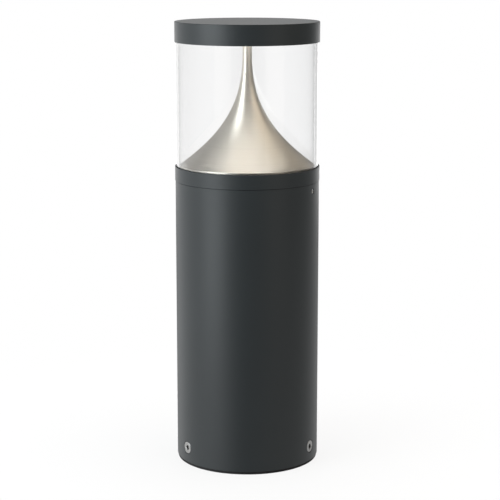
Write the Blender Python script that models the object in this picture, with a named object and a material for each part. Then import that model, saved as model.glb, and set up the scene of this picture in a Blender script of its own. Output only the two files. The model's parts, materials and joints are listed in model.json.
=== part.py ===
"""A bollard light: a round post that carries a glazed lamp head under a flat cap.

Metres, +Z up. The origin lies on the upright axis at ground level, and -Y is the front.
The post stands on the ground. The head is one unit, held by two grub screws: with those
slack it lifts straight up out of the post, with its driver on a tray below it.
"""

import math

import bmesh
import bpy
from mathutils import Vector

# Fits
GAP = 0.0003  # between two pieces that touch
LOOSE = 0.0004  # round a piece that drops into its seat

# Heights of the outside, from the ground up
GASKET_TOP = 0.0032
TUBE_BOTTOM = GASKET_TOP + GAP
TUBE_TOP = 0.3776
COLLAR_BOTTOM = TUBE_TOP + GAP
COLLAR_TOP = 0.3967
CAP_BOTTOM = 0.5590
CAP_TOP = 0.5856

# Radii of the outside
POST_RADIUS = 0.0950
POST_BORE = 0.0910
GASKET_RADIUS = 0.0940
COLLAR_RADIUS = 0.0955
LENS_RADIUS = 0.0935
LENS_BORE = 0.0900

# Base flange and its fixings
CABLE_ENTRY_RADIUS = 0.0300
FLANGE_TOP = 0.0103
FLANGE_RADIUS = POST_BORE - LOOSE
UPSTAND_BORE = 0.0820
UPSTAND_TOP = 0.0400
ANCHOR_ANGLES = (0, 120, 240)
ANCHOR_CIRCLE = 0.0650
ANCHOR_HOLE = 0.0055
BASE_SCREW_ANGLES = (60, 180, 300)
BASE_SCREW_HEIGHT = 0.0230
BASE_SCREW_HEAD = 0.0080
BASE_SCREW_SHANK = 0.0040
BASE_SCREW_FACE = 0.0946
BASE_SCREW_TIP = 0.0786
BASE_SCREW_SINK = BASE_SCREW_HEAD - BASE_SCREW_SHANK
BASE_SCREW_SOCKET = 0.0029
BASE_SCREW_SOCKET_DEPTH = 0.0045
COUNTERSINK_REACH = 0.0080

# Grub screws that hold the head in the post
GRUB_ANGLES = (62, 242)
GRUB_HEIGHT = 0.3680
GRUB_RADIUS = 0.0030
GRUB_HOLE = 0.0037
GRUB_FACE = 0.0943
GRUB_SOCKET = 0.0017
GRUB_SOCKET_DEPTH = 0.0020

# Head collar: its spigot, the seat of the bridge plate and the lens groove
SPIGOT_RADIUS = POST_BORE - 0.0005
SPIGOT_BOTTOM = 0.3420
COLLAR_BORE = 0.0845
SEAL_GROOVE = (0.3505, 0.3537)
SEAL_GROOVE_FLOOR = 0.0889
SEAL_SECTION = 0.00075
SEAT_BORE = 0.0760
SEAT_BOTTOM = 0.3700
SEAT_TOP = 0.3800
GROOVE_FLOOR = 0.3840
GROOVE_INNER = 0.0895
GROOVE_OUTER = 0.0939
REFLECTOR_SEAT = 0.3960

# Lens, its two gaskets and the reflector
GASKET_THICKNESS = 0.0020
GASKET_INNER = 0.0899
GASKET_OUTER = 0.0935
CAP_GROOVE_ROOF = 0.5650
LENS_BOTTOM = GROOVE_FLOOR + GASKET_THICKNESS + 2 * GAP
LENS_TOP = CAP_GROOVE_ROOF - GASKET_THICKNESS - 2 * GAP
REFLECTOR_WALL = 0.0015
NECK_RADIUS = 0.0061
NECK_TOP = 0.5617
FLARE_TOP = 0.5500
FLARE_HEIGHT = 0.1520
FLARE_WIDTH = 0.0830
FLARE_POWER = 2.6
RIM_RADIUS = 0.0889
RIM_TOP = 0.3992

# Cap and the lamp inside it
CAP_CEILING = 0.5795
CAP_CAVITY = 0.0840
CAP_MOUTH = 0.0860
BOSS_RADIUS = 0.0090
BOSS_BOTTOM = 0.5660
BOSS_BORE = 0.0044
BOSS_BORE_TOP = 0.5820
DIFFUSER_RADIUS = CAP_MOUTH - LOOSE
DIFFUSER_BOTTOM = 0.5620
DIFFUSER_TOP = CAP_GROOVE_ROOF - GAP
SPREADER_RADIUS = 0.0780
SPREADER_THICKNESS = 0.0040
SPREADER_TOP = CAP_CEILING - GAP
SPREADER_BOTTOM = SPREADER_TOP - SPREADER_THICKNESS
BOARD_RADIUS = 0.0700
BOARD_THICKNESS = 0.0016
BOARD_TOP = SPREADER_BOTTOM - GAP
BOARD_BOTTOM = BOARD_TOP - BOARD_THICKNESS
LED_COUNT = 16
LED_CIRCLE = 0.0550
LED_SIZE = 0.0050
LED_HEIGHT = 0.0009
LAMP_SCREW_ANGLES = (0, 120, 240)
LAMP_SCREW_CIRCLE = 0.0350

# Tie rod, bridge plate and gear tray
ROD_RADIUS = 0.0040
ROD_BORE = 0.0024
ROD_BOTTOM = 0.3640
ROD_TOP = 0.5815
LEAD_SLOT_WIDTH = 0.0036
LEAD_SLOT_BOTTOM = 0.5640
BRIDGE_BOTTOM = SEAT_TOP + GAP
BRIDGE_TOP = BRIDGE_BOTTOM + 0.0040
BRIDGE_RADIUS = COLLAR_BORE - LOOSE
BRIDGE_SCREW_ANGLES = (30, 150, 270)
BRIDGE_SCREW_CIRCLE = 0.0800
TRAY_SHEET = 0.0020
TRAY_WIDTH = 0.0600
TRAY_FRONT = 0.0240
TRAY_TAB_BACK = 0.0500
TRAY_SHELF_FRONT = 0.0
TRAY_TOP = SEAT_TOP
TRAY_BOTTOM = 0.1750
TRAY_SCREW_X = 0.0200
TRAY_SCREW_Y = 0.0380
DRIVER_LOW = (-0.0260, -0.0030, 0.2350)
DRIVER_HIGH = (0.0260, TRAY_FRONT - GAP, 0.3450)
EAR_HALF_WIDTH = 0.0080
EAR_THICKNESS = 0.0030
EAR_LENGTH = 0.0100

# Docking connector between the tray and the terminal box: each half size is across, then deep
DOCK_Y = 0.0120
DOCK_PINS = (-0.0090, 0.0, 0.0090)
PIN_RADIUS = 0.0012
PIN_TIP = 0.1550
PIN_HOLE = 0.0018
PIN_HOLE_BOTTOM = 0.1500
SHROUD_HALF = (0.0180, 0.0090)
SHROUD_WALL = 0.0020
SHROUD_BOTTOM = 0.1480
SHROUD_CEILING = 0.1710
PLUG_CUTOUT_HALF = (0.0135, 0.0055)
PLUG_NECK_HALF = (0.0130, 0.0050)
PLUG_UPPER_HALF = (0.0160, 0.0075)
PLUG_UPPER_TOP = 0.1900
SOCKET_HALF = (0.0155, 0.0065)
SOCKET_TOP = 0.1660
SOCKET_BASE_HALF = (0.0220, 0.0110)
SOCKET_BASE_HEIGHT = 0.0030
SOCKET_STUB_RADIUS = 0.0075
SOCKET_STUB_BOTTOM = 0.1340

# Terminal box and its bracket
BOX_HALF_WIDTH = 0.0380
BOX_FRONT = -0.0008
BOX_BACK = 0.0392
BOX_BOTTOM = 0.0500
BOX_TOP = 0.1400
BOX_WALL = 0.0025
BOX_ENTRY_Y = 0.0190
BOX_ENTRY_X = 0.0140
BOX_ENTRY_RADIUS = 0.0087
LID_THICKNESS = 0.0030
LID_SCREW_INSET = 0.0040
LID_SCREW_DEPTH = 0.0110
BOX_CORNER_POST = 0.0070
BOX_DOCK_OPENING = 0.0080
BOX_SCREW_HEIGHTS = (0.0700, 0.1200)
BRACKET_SHEET = 0.0025
BRACKET_FRONT = BOX_BACK + GAP
BRACKET_BACK = 0.0660
BRACKET_WIDTH = 0.0600
BRACKET_TOP = 0.1450
BRACKET_SCREW_X = 0.0140
BRACKET_SCREW_Y = 0.0560

# Terminal block and the mouths of its terminals
TERMINAL_LOW = (-0.0250, 0.0160, 0.0850)
TERMINAL_HIGH = (0.0250, BOX_BACK - BOX_WALL - GAP, 0.1050)
TERMINAL_PLACES = (-0.0160, 0.0, 0.0160)
TERMINAL_RADIUS = 0.0035
TERMINAL_DEPTH = 0.0080

# Cable gland: depths are below the box
GLAND_BORE = 0.0050
GLAND_CLAMP_RADIUS = 0.0075
GLAND_CLAMP_DEPTH = 0.0160
GLAND_THREAD_RADIUS = 0.0080
GLAND_THREAD_TOP = 0.0090
GLAND_CORNER = 0.0110
GLAND_HEXAGON_DEPTH = 0.0080
GLAND_NUT_CORNER = 0.0105
GLAND_NUT_EDGE = 0.0190
GLAND_NUT_DEPTH = 0.0240
LOCKNUT_HEIGHT = 0.0040

# Leads and earth bonding
DOCK_LEAD_RADIUS = 0.0025
SUPPLY_LEAD_RADIUS = 0.0030
LAMP_LEAD_RADIUS = 0.0012
EARTH_LEAD_RADIUS = 0.0020
EARTH_X = 0.0440
EARTH_Y = -0.0060
LUG_RADIUS = 0.0065
LUG_THICKNESS = 0.0015
LUG_BARREL_RADIUS = 0.0030
LUG_BARREL_START = 0.0055
LUG_BARREL_END = 0.0170
GROMMET_RADIUS = 0.0100
GROMMET_LIP = 0.0020
GROMMET_NOSE_RADIUS = 0.0060
GROMMET_DEPTH = 0.0040

# Small screws as (head radius, head height, shank radius), and the holes for their shanks
HEAVY_SCREW = (0.0045, 0.0036, 0.0025)
HEAVY_HOLE = 0.0029
BRIDGE_SCREW = (0.0036, 0.0026, 0.0020)
BRIDGE_HOLE = 0.0024
LIGHT_SCREW = (0.0038, 0.0028, 0.0019)
LIGHT_HOLE = 0.0023
LID_SCREW = (0.0032, 0.0022, 0.0015)
LAMP_SCREW = (0.0028, 0.0024, 0.0015)
FINE_HOLE = 0.0019
EARTH_SCREW = (0.0052, 0.0040, 0.0030)
EARTH_HOLE = 0.0034

# Nuts and the washer
ROD_WASHER_RADIUS = 0.0080
ROD_WASHER_THICKNESS = 0.0016
ROD_NUT_CORNER = 0.0075
ROD_NUT_HEIGHT = 0.0065
TRAY_NUT_CORNER = 0.0045
TRAY_NUT_HEIGHT = 0.0040

# Facets: the large rings share theirs, so that the gaps between them stay even
RING_SIDES = 36
REFLECTOR_SIDES = 30
SMALL_SIDES = 12
SMOOTH_ANGLE = math.radians(35)
OVERSHOOT = 0.0010  # how far a cutter runs past the face that it cuts


def clear_scene():
    for thing in list(bpy.data.objects):
        bpy.data.objects.remove(thing, do_unlink=True)


def material(name, colour, roughness, metallic=0.0, alpha=1.0):
    made = bpy.data.materials.new(name)
    made.use_nodes = True
    shader = made.node_tree.nodes["Principled BSDF"]
    shader.inputs["Base Color"].default_value = (*colour, 1.0)
    shader.inputs["Roughness"].default_value = roughness
    shader.inputs["Metallic"].default_value = metallic
    shader.inputs["Alpha"].default_value = alpha
    return made


def around(angle, radius, height):
    """The point at this angle in degrees from the front, counted towards +X."""
    turn = math.radians(angle)
    return Vector((radius * math.sin(turn), -radius * math.cos(turn), height))


def place(thing, finish, parent, location=(0, 0, 0), along=None):
    """Links an object under its parent, turned so that its own +Z points along a direction."""
    bpy.context.scene.collection.objects.link(thing)
    thing.data.materials.append(finish)
    thing.parent = parent
    thing.location = Vector(location) - parent.location
    if along is not None:
        thing.rotation_euler = Vector(along).to_track_quat("Z", "Y").to_euler()
    return thing


def mesh_object(name, points, faces):
    mesh = bpy.data.meshes.new(name)
    mesh.from_pydata(points, [], faces)
    shape = bmesh.new()
    shape.from_mesh(mesh)
    bmesh.ops.recalc_face_normals(shape, faces=shape.faces)
    shape.to_mesh(mesh)
    shape.free()
    mesh.shade_smooth()
    mesh.set_sharp_from_angle(angle=SMOOTH_ANGLE)
    return bpy.data.objects.new(name, mesh)


def turned(name, outline, sides=RING_SIDES, hexagonal=(), first=0.0):
    """A closed outline of (radius, height) points spun about Z.

    A point on the axis becomes one vertex. The outline points whose numbers are in
    hexagonal follow a hexagon instead of a circle, and their radius is to its corners.
    The first facet starts at that many facets from +X.
    """
    points = []
    rings = []
    for number, (radius, height) in enumerate(outline):
        if radius == 0:
            rings.append([len(points)] * sides)
            points.append((0, 0, height))
            continue
        rings.append(range(len(points), len(points) + sides))
        for side in range(sides):
            turn = math.tau * (side + first) / sides
            reach = radius
            if number in hexagonal:
                reach *= math.cos(math.pi / 6) / math.cos(turn % (math.pi / 3) - math.pi / 6)
            points.append((reach * math.cos(turn), reach * math.sin(turn), height))
    faces = []
    for number, ring in enumerate(rings):
        following = rings[(number + 1) % len(rings)]
        for side in range(sides):
            ahead = (side + 1) % sides
            corners = [ring[side], ring[ahead], following[ahead], following[side]]
            corners = list(dict.fromkeys(corners))
            if len(corners) > 2:
                faces.append(corners)
    return mesh_object(name, points, faces)


def block(name, low, high):
    """A box between two corners, with its origin at its middle."""
    middle = (Vector(low) + Vector(high)) / 2
    half = (Vector(high) - Vector(low)) / 2
    points = [(half.x * x, half.y * y, half.z * z) for x in (-1, 1) for y in (-1, 1) for z in (-1, 1)]
    faces = [(0, 1, 3, 2), (4, 6, 7, 5), (0, 4, 5, 1), (2, 3, 7, 6), (0, 2, 6, 4), (1, 5, 7, 3)]
    made = mesh_object(name, points, faces)
    made.location = middle
    return made


def bent_sheet(name, outline, width):
    """A sheet's side outline of (y, z) points, extruded across X."""
    count = len(outline)
    points = [(side * width / 2, y, z) for side in (-1, 1) for y, z in outline]
    faces = [range(count), range(count, 2 * count)]
    for number in range(count):
        ahead = (number + 1) % count
        faces.append((number, ahead, ahead + count, number + count))
    return mesh_object(name, points, faces)


def rod_between(name, radius, start, end, sides=SMALL_SIDES):
    """A plain round bar between two points."""
    start = Vector(start)
    span = Vector(end) - start
    outline = [(0, 0), (radius, 0), (radius, span.length), (0, span.length)]
    made = turned(name, outline, sides, first=0.3)
    made.location = start
    made.rotation_euler = span.to_track_quat("Z", "Y").to_euler()
    return made


def combine(target, tool, operation):
    """Cuts a hidden tool from the target, or joins it on."""
    bpy.context.scene.collection.objects.link(tool)
    tool.hide_render = True
    tool.display_type = "WIRE"
    step = target.modifiers.new(tool.name, "BOOLEAN")
    step.operation = operation
    step.solver = "EXACT"
    step.object = tool


def drill(target, name, radius, start, end, sides=SMALL_SIDES):
    combine(target, rod_between(name, radius, start, end, sides), "DIFFERENCE")


def carve(target, name, low, high):
    combine(target, block(name, low, high), "DIFFERENCE")


def weld(target, name, low, high):
    combine(target, block(name, low, high), "UNION")


def screw(name, size, length, finish, parent, location, along):
    """A screw with a flat round head and a hexagon socket.

    Its origin is under the head, and along points out of the head.
    """
    head_radius, head_height, shank = size
    socket_radius = head_radius / 2
    outline = [
        (0, head_height / 3),
        (socket_radius, head_height / 3),
        (socket_radius, head_height),
        (head_radius, head_height),
        (head_radius, 0),
        (shank, 0),
        (shank, -length),
        (0, -length),
    ]
    made = turned(name, outline, SMALL_SIDES, hexagonal=(1, 2))
    return place(made, finish, parent, location, along)


def lead(name, route, radius, finish, parent):
    """A flexible lead: straight at both ends, on a smooth curve through the points between."""
    steps = 3
    knots = [Vector(point) for point in route]
    path = [knots[0]]
    for before, start, end, after in zip(knots, knots[1:], knots[2:], knots[3:]):
        for step in range(steps):
            t = step / steps
            path.append(
                0.5
                * (
                    2 * start
                    + (end - before) * t
                    + (2 * before - 5 * start + 4 * end - after) * t**2
                    + (3 * start - before - 3 * end + after) * t**3
                )
            )
    path += knots[-2:]
    curve = bpy.data.curves.new(name, "CURVE")
    curve.dimensions = "3D"
    curve.bevel_depth = radius
    curve.bevel_resolution = 2
    curve.use_fill_caps = True
    spline = curve.splines.new("POLY")
    spline.points.add(len(path) - 1)
    for point, place_of in zip(spline.points, path):
        point.co = (*(place_of - parent.location), 1)
    made = bpy.data.objects.new(name, curve)
    return place(made, finish, parent, parent.location)


# Post


def base_gasket(finish, parent):
    made = turned(
        "base_gasket",
        [
            (CABLE_ENTRY_RADIUS, 0),
            (GASKET_RADIUS, 0),
            (GASKET_RADIUS, GASKET_TOP),
            (CABLE_ENTRY_RADIUS, GASKET_TOP),
        ],
    )
    place(made, finish, parent)
    drill_anchor_holes(made, -OVERSHOOT, GASKET_TOP + OVERSHOOT)


def drill_anchor_holes(target, low, high):
    for number, angle in enumerate(ANCHOR_ANGLES, 1):
        start = around(angle, ANCHOR_CIRCLE, low)
        end = around(angle, ANCHOR_CIRCLE, high)
        drill(target, f"{target.name}_anchor_hole_{number}", ANCHOR_HOLE, start, end, 16)


def base_flange(finish, parent):
    made = turned(
        "base_flange",
        [
            (CABLE_ENTRY_RADIUS, TUBE_BOTTOM),
            (FLANGE_RADIUS, TUBE_BOTTOM),
            (FLANGE_RADIUS, UPSTAND_TOP),
            (UPSTAND_BORE, UPSTAND_TOP),
            (UPSTAND_BORE, FLANGE_TOP),
            (CABLE_ENTRY_RADIUS, FLANGE_TOP),
        ],
    )
    place(made, finish, parent)
    drill_anchor_holes(made, TUBE_BOTTOM - OVERSHOOT, FLANGE_TOP + OVERSHOOT)
    for number, angle in enumerate(BASE_SCREW_ANGLES, 1):
        start = around(angle, UPSTAND_BORE - 2 * OVERSHOOT, BASE_SCREW_HEIGHT)
        end = around(angle, FLANGE_RADIUS + OVERSHOOT, BASE_SCREW_HEIGHT)
        drill(made, f"flange_side_hole_{number}", BASE_SCREW_SHANK + 2 * LOOSE, start, end)
    for side in (-1, 1):
        drill_down(made, f"bracket_hole_{side}", HEAVY_HOLE, side * BRACKET_SCREW_X, BRACKET_SCREW_Y)
    drill_down(made, "earth_hole", EARTH_HOLE, EARTH_X, EARTH_Y)


def drill_down(target, name, radius, x, y):
    """A hole through the floor of the base flange."""
    low = (x, y, TUBE_BOTTOM - OVERSHOOT)
    drill(target, name, radius, low, (x, y, FLANGE_TOP + OVERSHOOT))


def body_tube(finish, parent):
    made = turned(
        "body_tube",
        [
            (POST_BORE, TUBE_BOTTOM),
            (POST_RADIUS, TUBE_BOTTOM),
            (POST_RADIUS, TUBE_TOP),
            (POST_BORE, TUBE_TOP),
        ],
    )
    place(made, finish, parent)
    shank_hole = BASE_SCREW_SHANK + 2 * LOOSE
    head_hole = BASE_SCREW_HEAD + 2 * LOOSE
    outline = [
        (0, -COUNTERSINK_REACH),
        (shank_hole, -COUNTERSINK_REACH),
        (shank_hole, -BASE_SCREW_SINK),
        (head_hole, 0),
        (head_hole, 2 * OVERSHOOT),
        (0, 2 * OVERSHOOT),
    ]
    for number, angle in enumerate(BASE_SCREW_ANGLES, 1):
        cutter = turned(f"countersink_{number}", outline, 20, first=0.3)
        cutter.location = around(angle, BASE_SCREW_FACE, BASE_SCREW_HEIGHT)
        cutter.rotation_euler = around(angle, 1, 0).to_track_quat("Z", "Y").to_euler()
        combine(made, cutter, "DIFFERENCE")
    for number, angle in enumerate(GRUB_ANGLES, 1):
        start = around(angle, POST_BORE - 2 * OVERSHOOT, GRUB_HEIGHT)
        end = around(angle, POST_RADIUS + OVERSHOOT, GRUB_HEIGHT)
        drill(made, f"grub_hole_{number}", GRUB_HOLE, start, end)


def base_screws(finish, parent):
    """Countersunk socket screws: the tapered head is flush with the tube."""
    outline = [
        (0, -BASE_SCREW_SOCKET_DEPTH),
        (BASE_SCREW_SOCKET, -BASE_SCREW_SOCKET_DEPTH),
        (BASE_SCREW_SOCKET, 0),
        (BASE_SCREW_HEAD, 0),
        (BASE_SCREW_SHANK, -BASE_SCREW_SINK),
        (BASE_SCREW_SHANK, BASE_SCREW_TIP - BASE_SCREW_FACE),
        (0, BASE_SCREW_TIP - BASE_SCREW_FACE),
    ]
    for number, angle in enumerate(BASE_SCREW_ANGLES, 1):
        made = turned(f"base_screw_{number}", outline, 18, hexagonal=(1, 2))
        face = around(angle, BASE_SCREW_FACE, BASE_SCREW_HEIGHT)
        place(made, finish, parent, face, around(angle, 1, 0))


def grub_screws(finish, parent):
    """They stop just short of the spigot, so that the head is free to lift."""
    length = GRUB_FACE - SPIGOT_RADIUS - GAP
    outline = [
        (0, -GRUB_SOCKET_DEPTH),
        (GRUB_SOCKET, -GRUB_SOCKET_DEPTH),
        (GRUB_SOCKET, 0),
        (GRUB_RADIUS, 0),
        (GRUB_RADIUS, -length),
        (0, -length),
    ]
    for number, angle in enumerate(GRUB_ANGLES, 1):
        made = turned(f"grub_screw_{number}", outline, SMALL_SIDES, hexagonal=(1, 2))
        face = around(angle, GRUB_FACE, GRUB_HEIGHT)
        place(made, finish, parent, face, around(angle, 1, 0))


def box_bracket(zinc, steel, parent):
    back = BRACKET_FRONT + BRACKET_SHEET
    foot = FLANGE_TOP + GAP
    outline = [
        (BRACKET_FRONT, foot),
        (BRACKET_BACK, foot),
        (BRACKET_BACK, foot + BRACKET_SHEET),
        (back, foot + BRACKET_SHEET),
        (back, BRACKET_TOP),
        (BRACKET_FRONT, BRACKET_TOP),
    ]
    made = place(bent_sheet("box_bracket", outline, BRACKET_WIDTH), zinc, parent)
    under_head = foot + BRACKET_SHEET + GAP
    for number, side in enumerate((-1, 1), 1):
        x = side * BRACKET_SCREW_X
        low = (x, BRACKET_SCREW_Y, foot - OVERSHOOT)
        high = (x, BRACKET_SCREW_Y, under_head + OVERSHOOT)
        drill(made, f"foot_hole_{number}", HEAVY_HOLE, low, high)
        seat = (x, BRACKET_SCREW_Y, under_head)
        screw(f"bracket_screw_{number}", HEAVY_SCREW, 0.0090, steel, parent, seat, (0, 0, 1))
    for number, height in enumerate(BOX_SCREW_HEIGHTS, 1):
        low = (0, BRACKET_FRONT - OVERSHOOT, height)
        drill(made, f"upright_hole_{number}", LIGHT_HOLE, low, (0, back + OVERSHOOT, height))


def terminal_box(plastic, steel, parent):
    low = (-BOX_HALF_WIDTH, BOX_FRONT, BOX_BOTTOM)
    high = (BOX_HALF_WIDTH, BOX_BACK, BOX_TOP)
    shell = block("terminal_box", low, high)
    place(shell, plastic, parent, shell.location)
    back = BOX_BACK - BOX_WALL
    side = BOX_HALF_WIDTH - BOX_WALL
    carve(
        shell,
        "box_room_wide",
        (-side, BOX_FRONT - OVERSHOOT, BOX_BOTTOM + BOX_WALL + BOX_CORNER_POST),
        (side, back, BOX_TOP - BOX_WALL - BOX_CORNER_POST),
    )
    carve(
        shell,
        "box_room_tall",
        (BOX_CORNER_POST - side, BOX_FRONT - OVERSHOOT, BOX_BOTTOM + BOX_WALL),
        (side - BOX_CORNER_POST, back, BOX_TOP - BOX_WALL),
    )
    for number, x in enumerate((-BOX_ENTRY_X, BOX_ENTRY_X), 1):
        start = (x, BOX_ENTRY_Y, BOX_BOTTOM - OVERSHOOT)
        end = (x, BOX_ENTRY_Y, BOX_BOTTOM + BOX_WALL + OVERSHOOT)
        drill(shell, f"box_entry_{number}", BOX_ENTRY_RADIUS, start, end, 16)
    start = (0, DOCK_Y, BOX_TOP - BOX_WALL - OVERSHOOT)
    end = (0, DOCK_Y, BOX_TOP + OVERSHOOT)
    drill(shell, "dock_opening", BOX_DOCK_OPENING, start, end, 16)
    for number, height in enumerate(BOX_SCREW_HEIGHTS, 1):
        start = (0, back - OVERSHOOT, height)
        end = (0, BOX_BACK + OVERSHOOT, height)
        drill(shell, f"box_back_hole_{number}", LIGHT_HOLE, start, end)
        seat = (0, back - GAP, height)
        screw(f"box_screw_{number}", LIGHT_SCREW, 0.0090, steel, parent, seat, (0, -1, 0))
    lid_back = BOX_FRONT - GAP
    lid_front = lid_back - LID_THICKNESS
    lid = block(
        "terminal_box_lid",
        (-BOX_HALF_WIDTH, lid_front, BOX_BOTTOM),
        (BOX_HALF_WIDTH, lid_back, BOX_TOP),
    )
    place(lid, plastic, parent, lid.location)
    corners = [(-1, BOX_BOTTOM + LID_SCREW_INSET), (1, BOX_TOP - LID_SCREW_INSET)]
    for number, (sign, height) in enumerate(corners, 1):
        x = sign * (BOX_HALF_WIDTH - LID_SCREW_INSET)
        outer = (x, lid_front - OVERSHOOT, height)
        inner = (x, BOX_FRONT + LID_SCREW_DEPTH, height)
        drill(lid, f"lid_hole_{number}", FINE_HOLE, outer, (x, lid_back + OVERSHOOT, height))
        drill(shell, f"lid_screw_hole_{number}", FINE_HOLE, outer, inner)
        seat = (x, lid_front - GAP, height)
        screw(f"lid_screw_{number}", LID_SCREW, 0.0130, steel, parent, seat, (0, -1, 0))


def terminal_block(finish, parent):
    made = block("terminal_block", TERMINAL_LOW, TERMINAL_HIGH)
    place(made, finish, parent, made.location)
    front = TERMINAL_LOW[1]
    height = (TERMINAL_LOW[2] + TERMINAL_HIGH[2]) / 2
    for number, x in enumerate(TERMINAL_PLACES, 1):
        mouth = (x, front - OVERSHOOT, height)
        drill(made, f"terminal_{number}", TERMINAL_RADIUS, mouth, (x, front + TERMINAL_DEPTH, height))


def cable_gland(plastic, parent):
    """The mains cable comes up through the base and into the box from below."""
    centre = (-BOX_ENTRY_X, BOX_ENTRY_Y, BOX_BOTTOM)
    body = turned(
        "cable_gland",
        [
            (GLAND_BORE, -GLAND_CLAMP_DEPTH),
            (GLAND_CLAMP_RADIUS, -GLAND_CLAMP_DEPTH),
            (GLAND_CLAMP_RADIUS, -GLAND_HEXAGON_DEPTH),
            (GLAND_CORNER, -GLAND_HEXAGON_DEPTH),
            (GLAND_CORNER, -GAP),
            (GLAND_THREAD_RADIUS, -GAP),
            (GLAND_THREAD_RADIUS, GLAND_THREAD_TOP),
            (GLAND_BORE, GLAND_THREAD_TOP),
        ],
        SMALL_SIDES,
        hexagonal=(3, 4),
    )
    place(body, plastic, parent, centre)
    nut_bore = GLAND_CLAMP_RADIUS + LOOSE
    nut_top = -GLAND_HEXAGON_DEPTH - GAP
    nut_ceiling = -GLAND_CLAMP_DEPTH - GAP
    nut = turned(
        "gland_nut",
        [
            (GLAND_BORE, -GLAND_NUT_DEPTH),
            (GLAND_THREAD_RADIUS, -GLAND_NUT_DEPTH),
            (GLAND_NUT_CORNER, -GLAND_NUT_EDGE),
            (GLAND_NUT_CORNER, nut_top),
            (nut_bore, nut_top),
            (nut_bore, nut_ceiling),
            (GLAND_BORE, nut_ceiling),
        ],
        SMALL_SIDES,
        hexagonal=(2, 3),
    )
    place(nut, plastic, parent, centre)
    locknut_seat = Vector(centre) + Vector((0, 0, BOX_WALL + GAP))
    locknut_bore = GLAND_THREAD_RADIUS + LOOSE
    hex_nut("gland_locknut", locknut_bore, GLAND_CORNER, LOCKNUT_HEIGHT, plastic, parent, locknut_seat)


def dock_socket(finish, parent):
    """Takes the plug below the gear tray as the head is lowered into the post."""
    base_bottom = BOX_TOP + GAP
    base_top = base_bottom + SOCKET_BASE_HEIGHT
    made = block("dock_socket", *dock_box(SOCKET_HALF, base_top - OVERSHOOT, SOCKET_TOP))
    place(made, finish, parent, made.location)
    weld(made, "dock_socket_base", *dock_box(SOCKET_BASE_HALF, base_bottom, base_top))
    low = (0, DOCK_Y, SOCKET_STUB_BOTTOM)
    high = (0, DOCK_Y, base_bottom + OVERSHOOT)
    combine(made, rod_between("dock_socket_stub", SOCKET_STUB_RADIUS, low, high, 16), "UNION")
    for number, x in enumerate(DOCK_PINS, 1):
        start = (x, DOCK_Y, PIN_HOLE_BOTTOM)
        drill(made, f"socket_hole_{number}", PIN_HOLE, start, (x, DOCK_Y, SOCKET_TOP + OVERSHOOT))


def dock_box(half, bottom, top):
    """Two corners of a box on the dock's centre line."""
    across, deep = half
    return (-across, DOCK_Y - deep, bottom), (across, DOCK_Y + deep, top)


def post_leads(finish, earth_finish, steel, copper, parent):
    """The wiring inside the box, and the lead that bonds the base to earth."""
    inner_route = [
        (0, 0.0240, 0.1055),
        (0, 0.0240, 0.1090),
        (0, 0.0180, 0.1190),
        (0, DOCK_Y, 0.1290),
        (0, DOCK_Y, 0.1335),
    ]
    lead("dock_lead", inner_route, DOCK_LEAD_RADIUS, finish, parent)
    ring_bottom = FLANGE_TOP + GAP
    lug = turned(
        "earth_lug",
        [
            (EARTH_HOLE, 0),
            (LUG_RADIUS, 0),
            (LUG_RADIUS, LUG_THICKNESS),
            (EARTH_HOLE, LUG_THICKNESS),
        ],
        16,
    )
    place(lug, copper, parent, (EARTH_X, EARTH_Y, ring_bottom))
    barrel_height = ring_bottom + LUG_BARREL_RADIUS
    barrel_end = EARTH_Y + LUG_BARREL_END
    barrel = rod_between(
        "earth_lug_barrel",
        LUG_BARREL_RADIUS,
        (EARTH_X, EARTH_Y + LUG_BARREL_START, barrel_height),
        (EARTH_X, barrel_end, barrel_height),
    )
    combine(lug, barrel, "UNION")
    seat = (EARTH_X, EARTH_Y, ring_bottom + LUG_THICKNESS + GAP)
    screw("earth_bolt", EARTH_SCREW, 0.0080, steel, parent, seat, (0, 0, 1))
    earth_route = [
        (EARTH_X, barrel_end + 2 * GAP, barrel_height),
        (EARTH_X, barrel_end + 0.0050, barrel_height),
        (0.0400, 0.0240, 0.0220),
        (0.0260, 0.0230, 0.0300),
        (BOX_ENTRY_X, BOX_ENTRY_Y, 0.0370),
        (BOX_ENTRY_X, BOX_ENTRY_Y, 0.0450),
        (BOX_ENTRY_X, BOX_ENTRY_Y, 0.0540),
        (BOX_ENTRY_X, BOX_ENTRY_Y, 0.0600),
        (BOX_ENTRY_X, 0.0230, 0.0720),
        (BOX_ENTRY_X, 0.0240, 0.0800),
        (BOX_ENTRY_X, 0.0240, 0.0845),
    ]
    lead("earth_lead", earth_route, EARTH_LEAD_RADIUS, earth_finish, parent)


def earth_grommet(finish, parent):
    bore = EARTH_LEAD_RADIUS + LOOSE
    body_radius = BOX_ENTRY_RADIUS - 2 * LOOSE
    made = turned(
        "earth_grommet",
        [
            (bore, -GROMMET_DEPTH),
            (GROMMET_NOSE_RADIUS, -GROMMET_DEPTH),
            (GROMMET_RADIUS, -GROMMET_LIP),
            (GROMMET_RADIUS, -GAP),
            (body_radius, -GAP),
            (body_radius, BOX_WALL),
            (bore, BOX_WALL),
        ],
        16,
    )
    place(made, finish, parent, (BOX_ENTRY_X, BOX_ENTRY_Y, BOX_BOTTOM))


# Head


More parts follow.
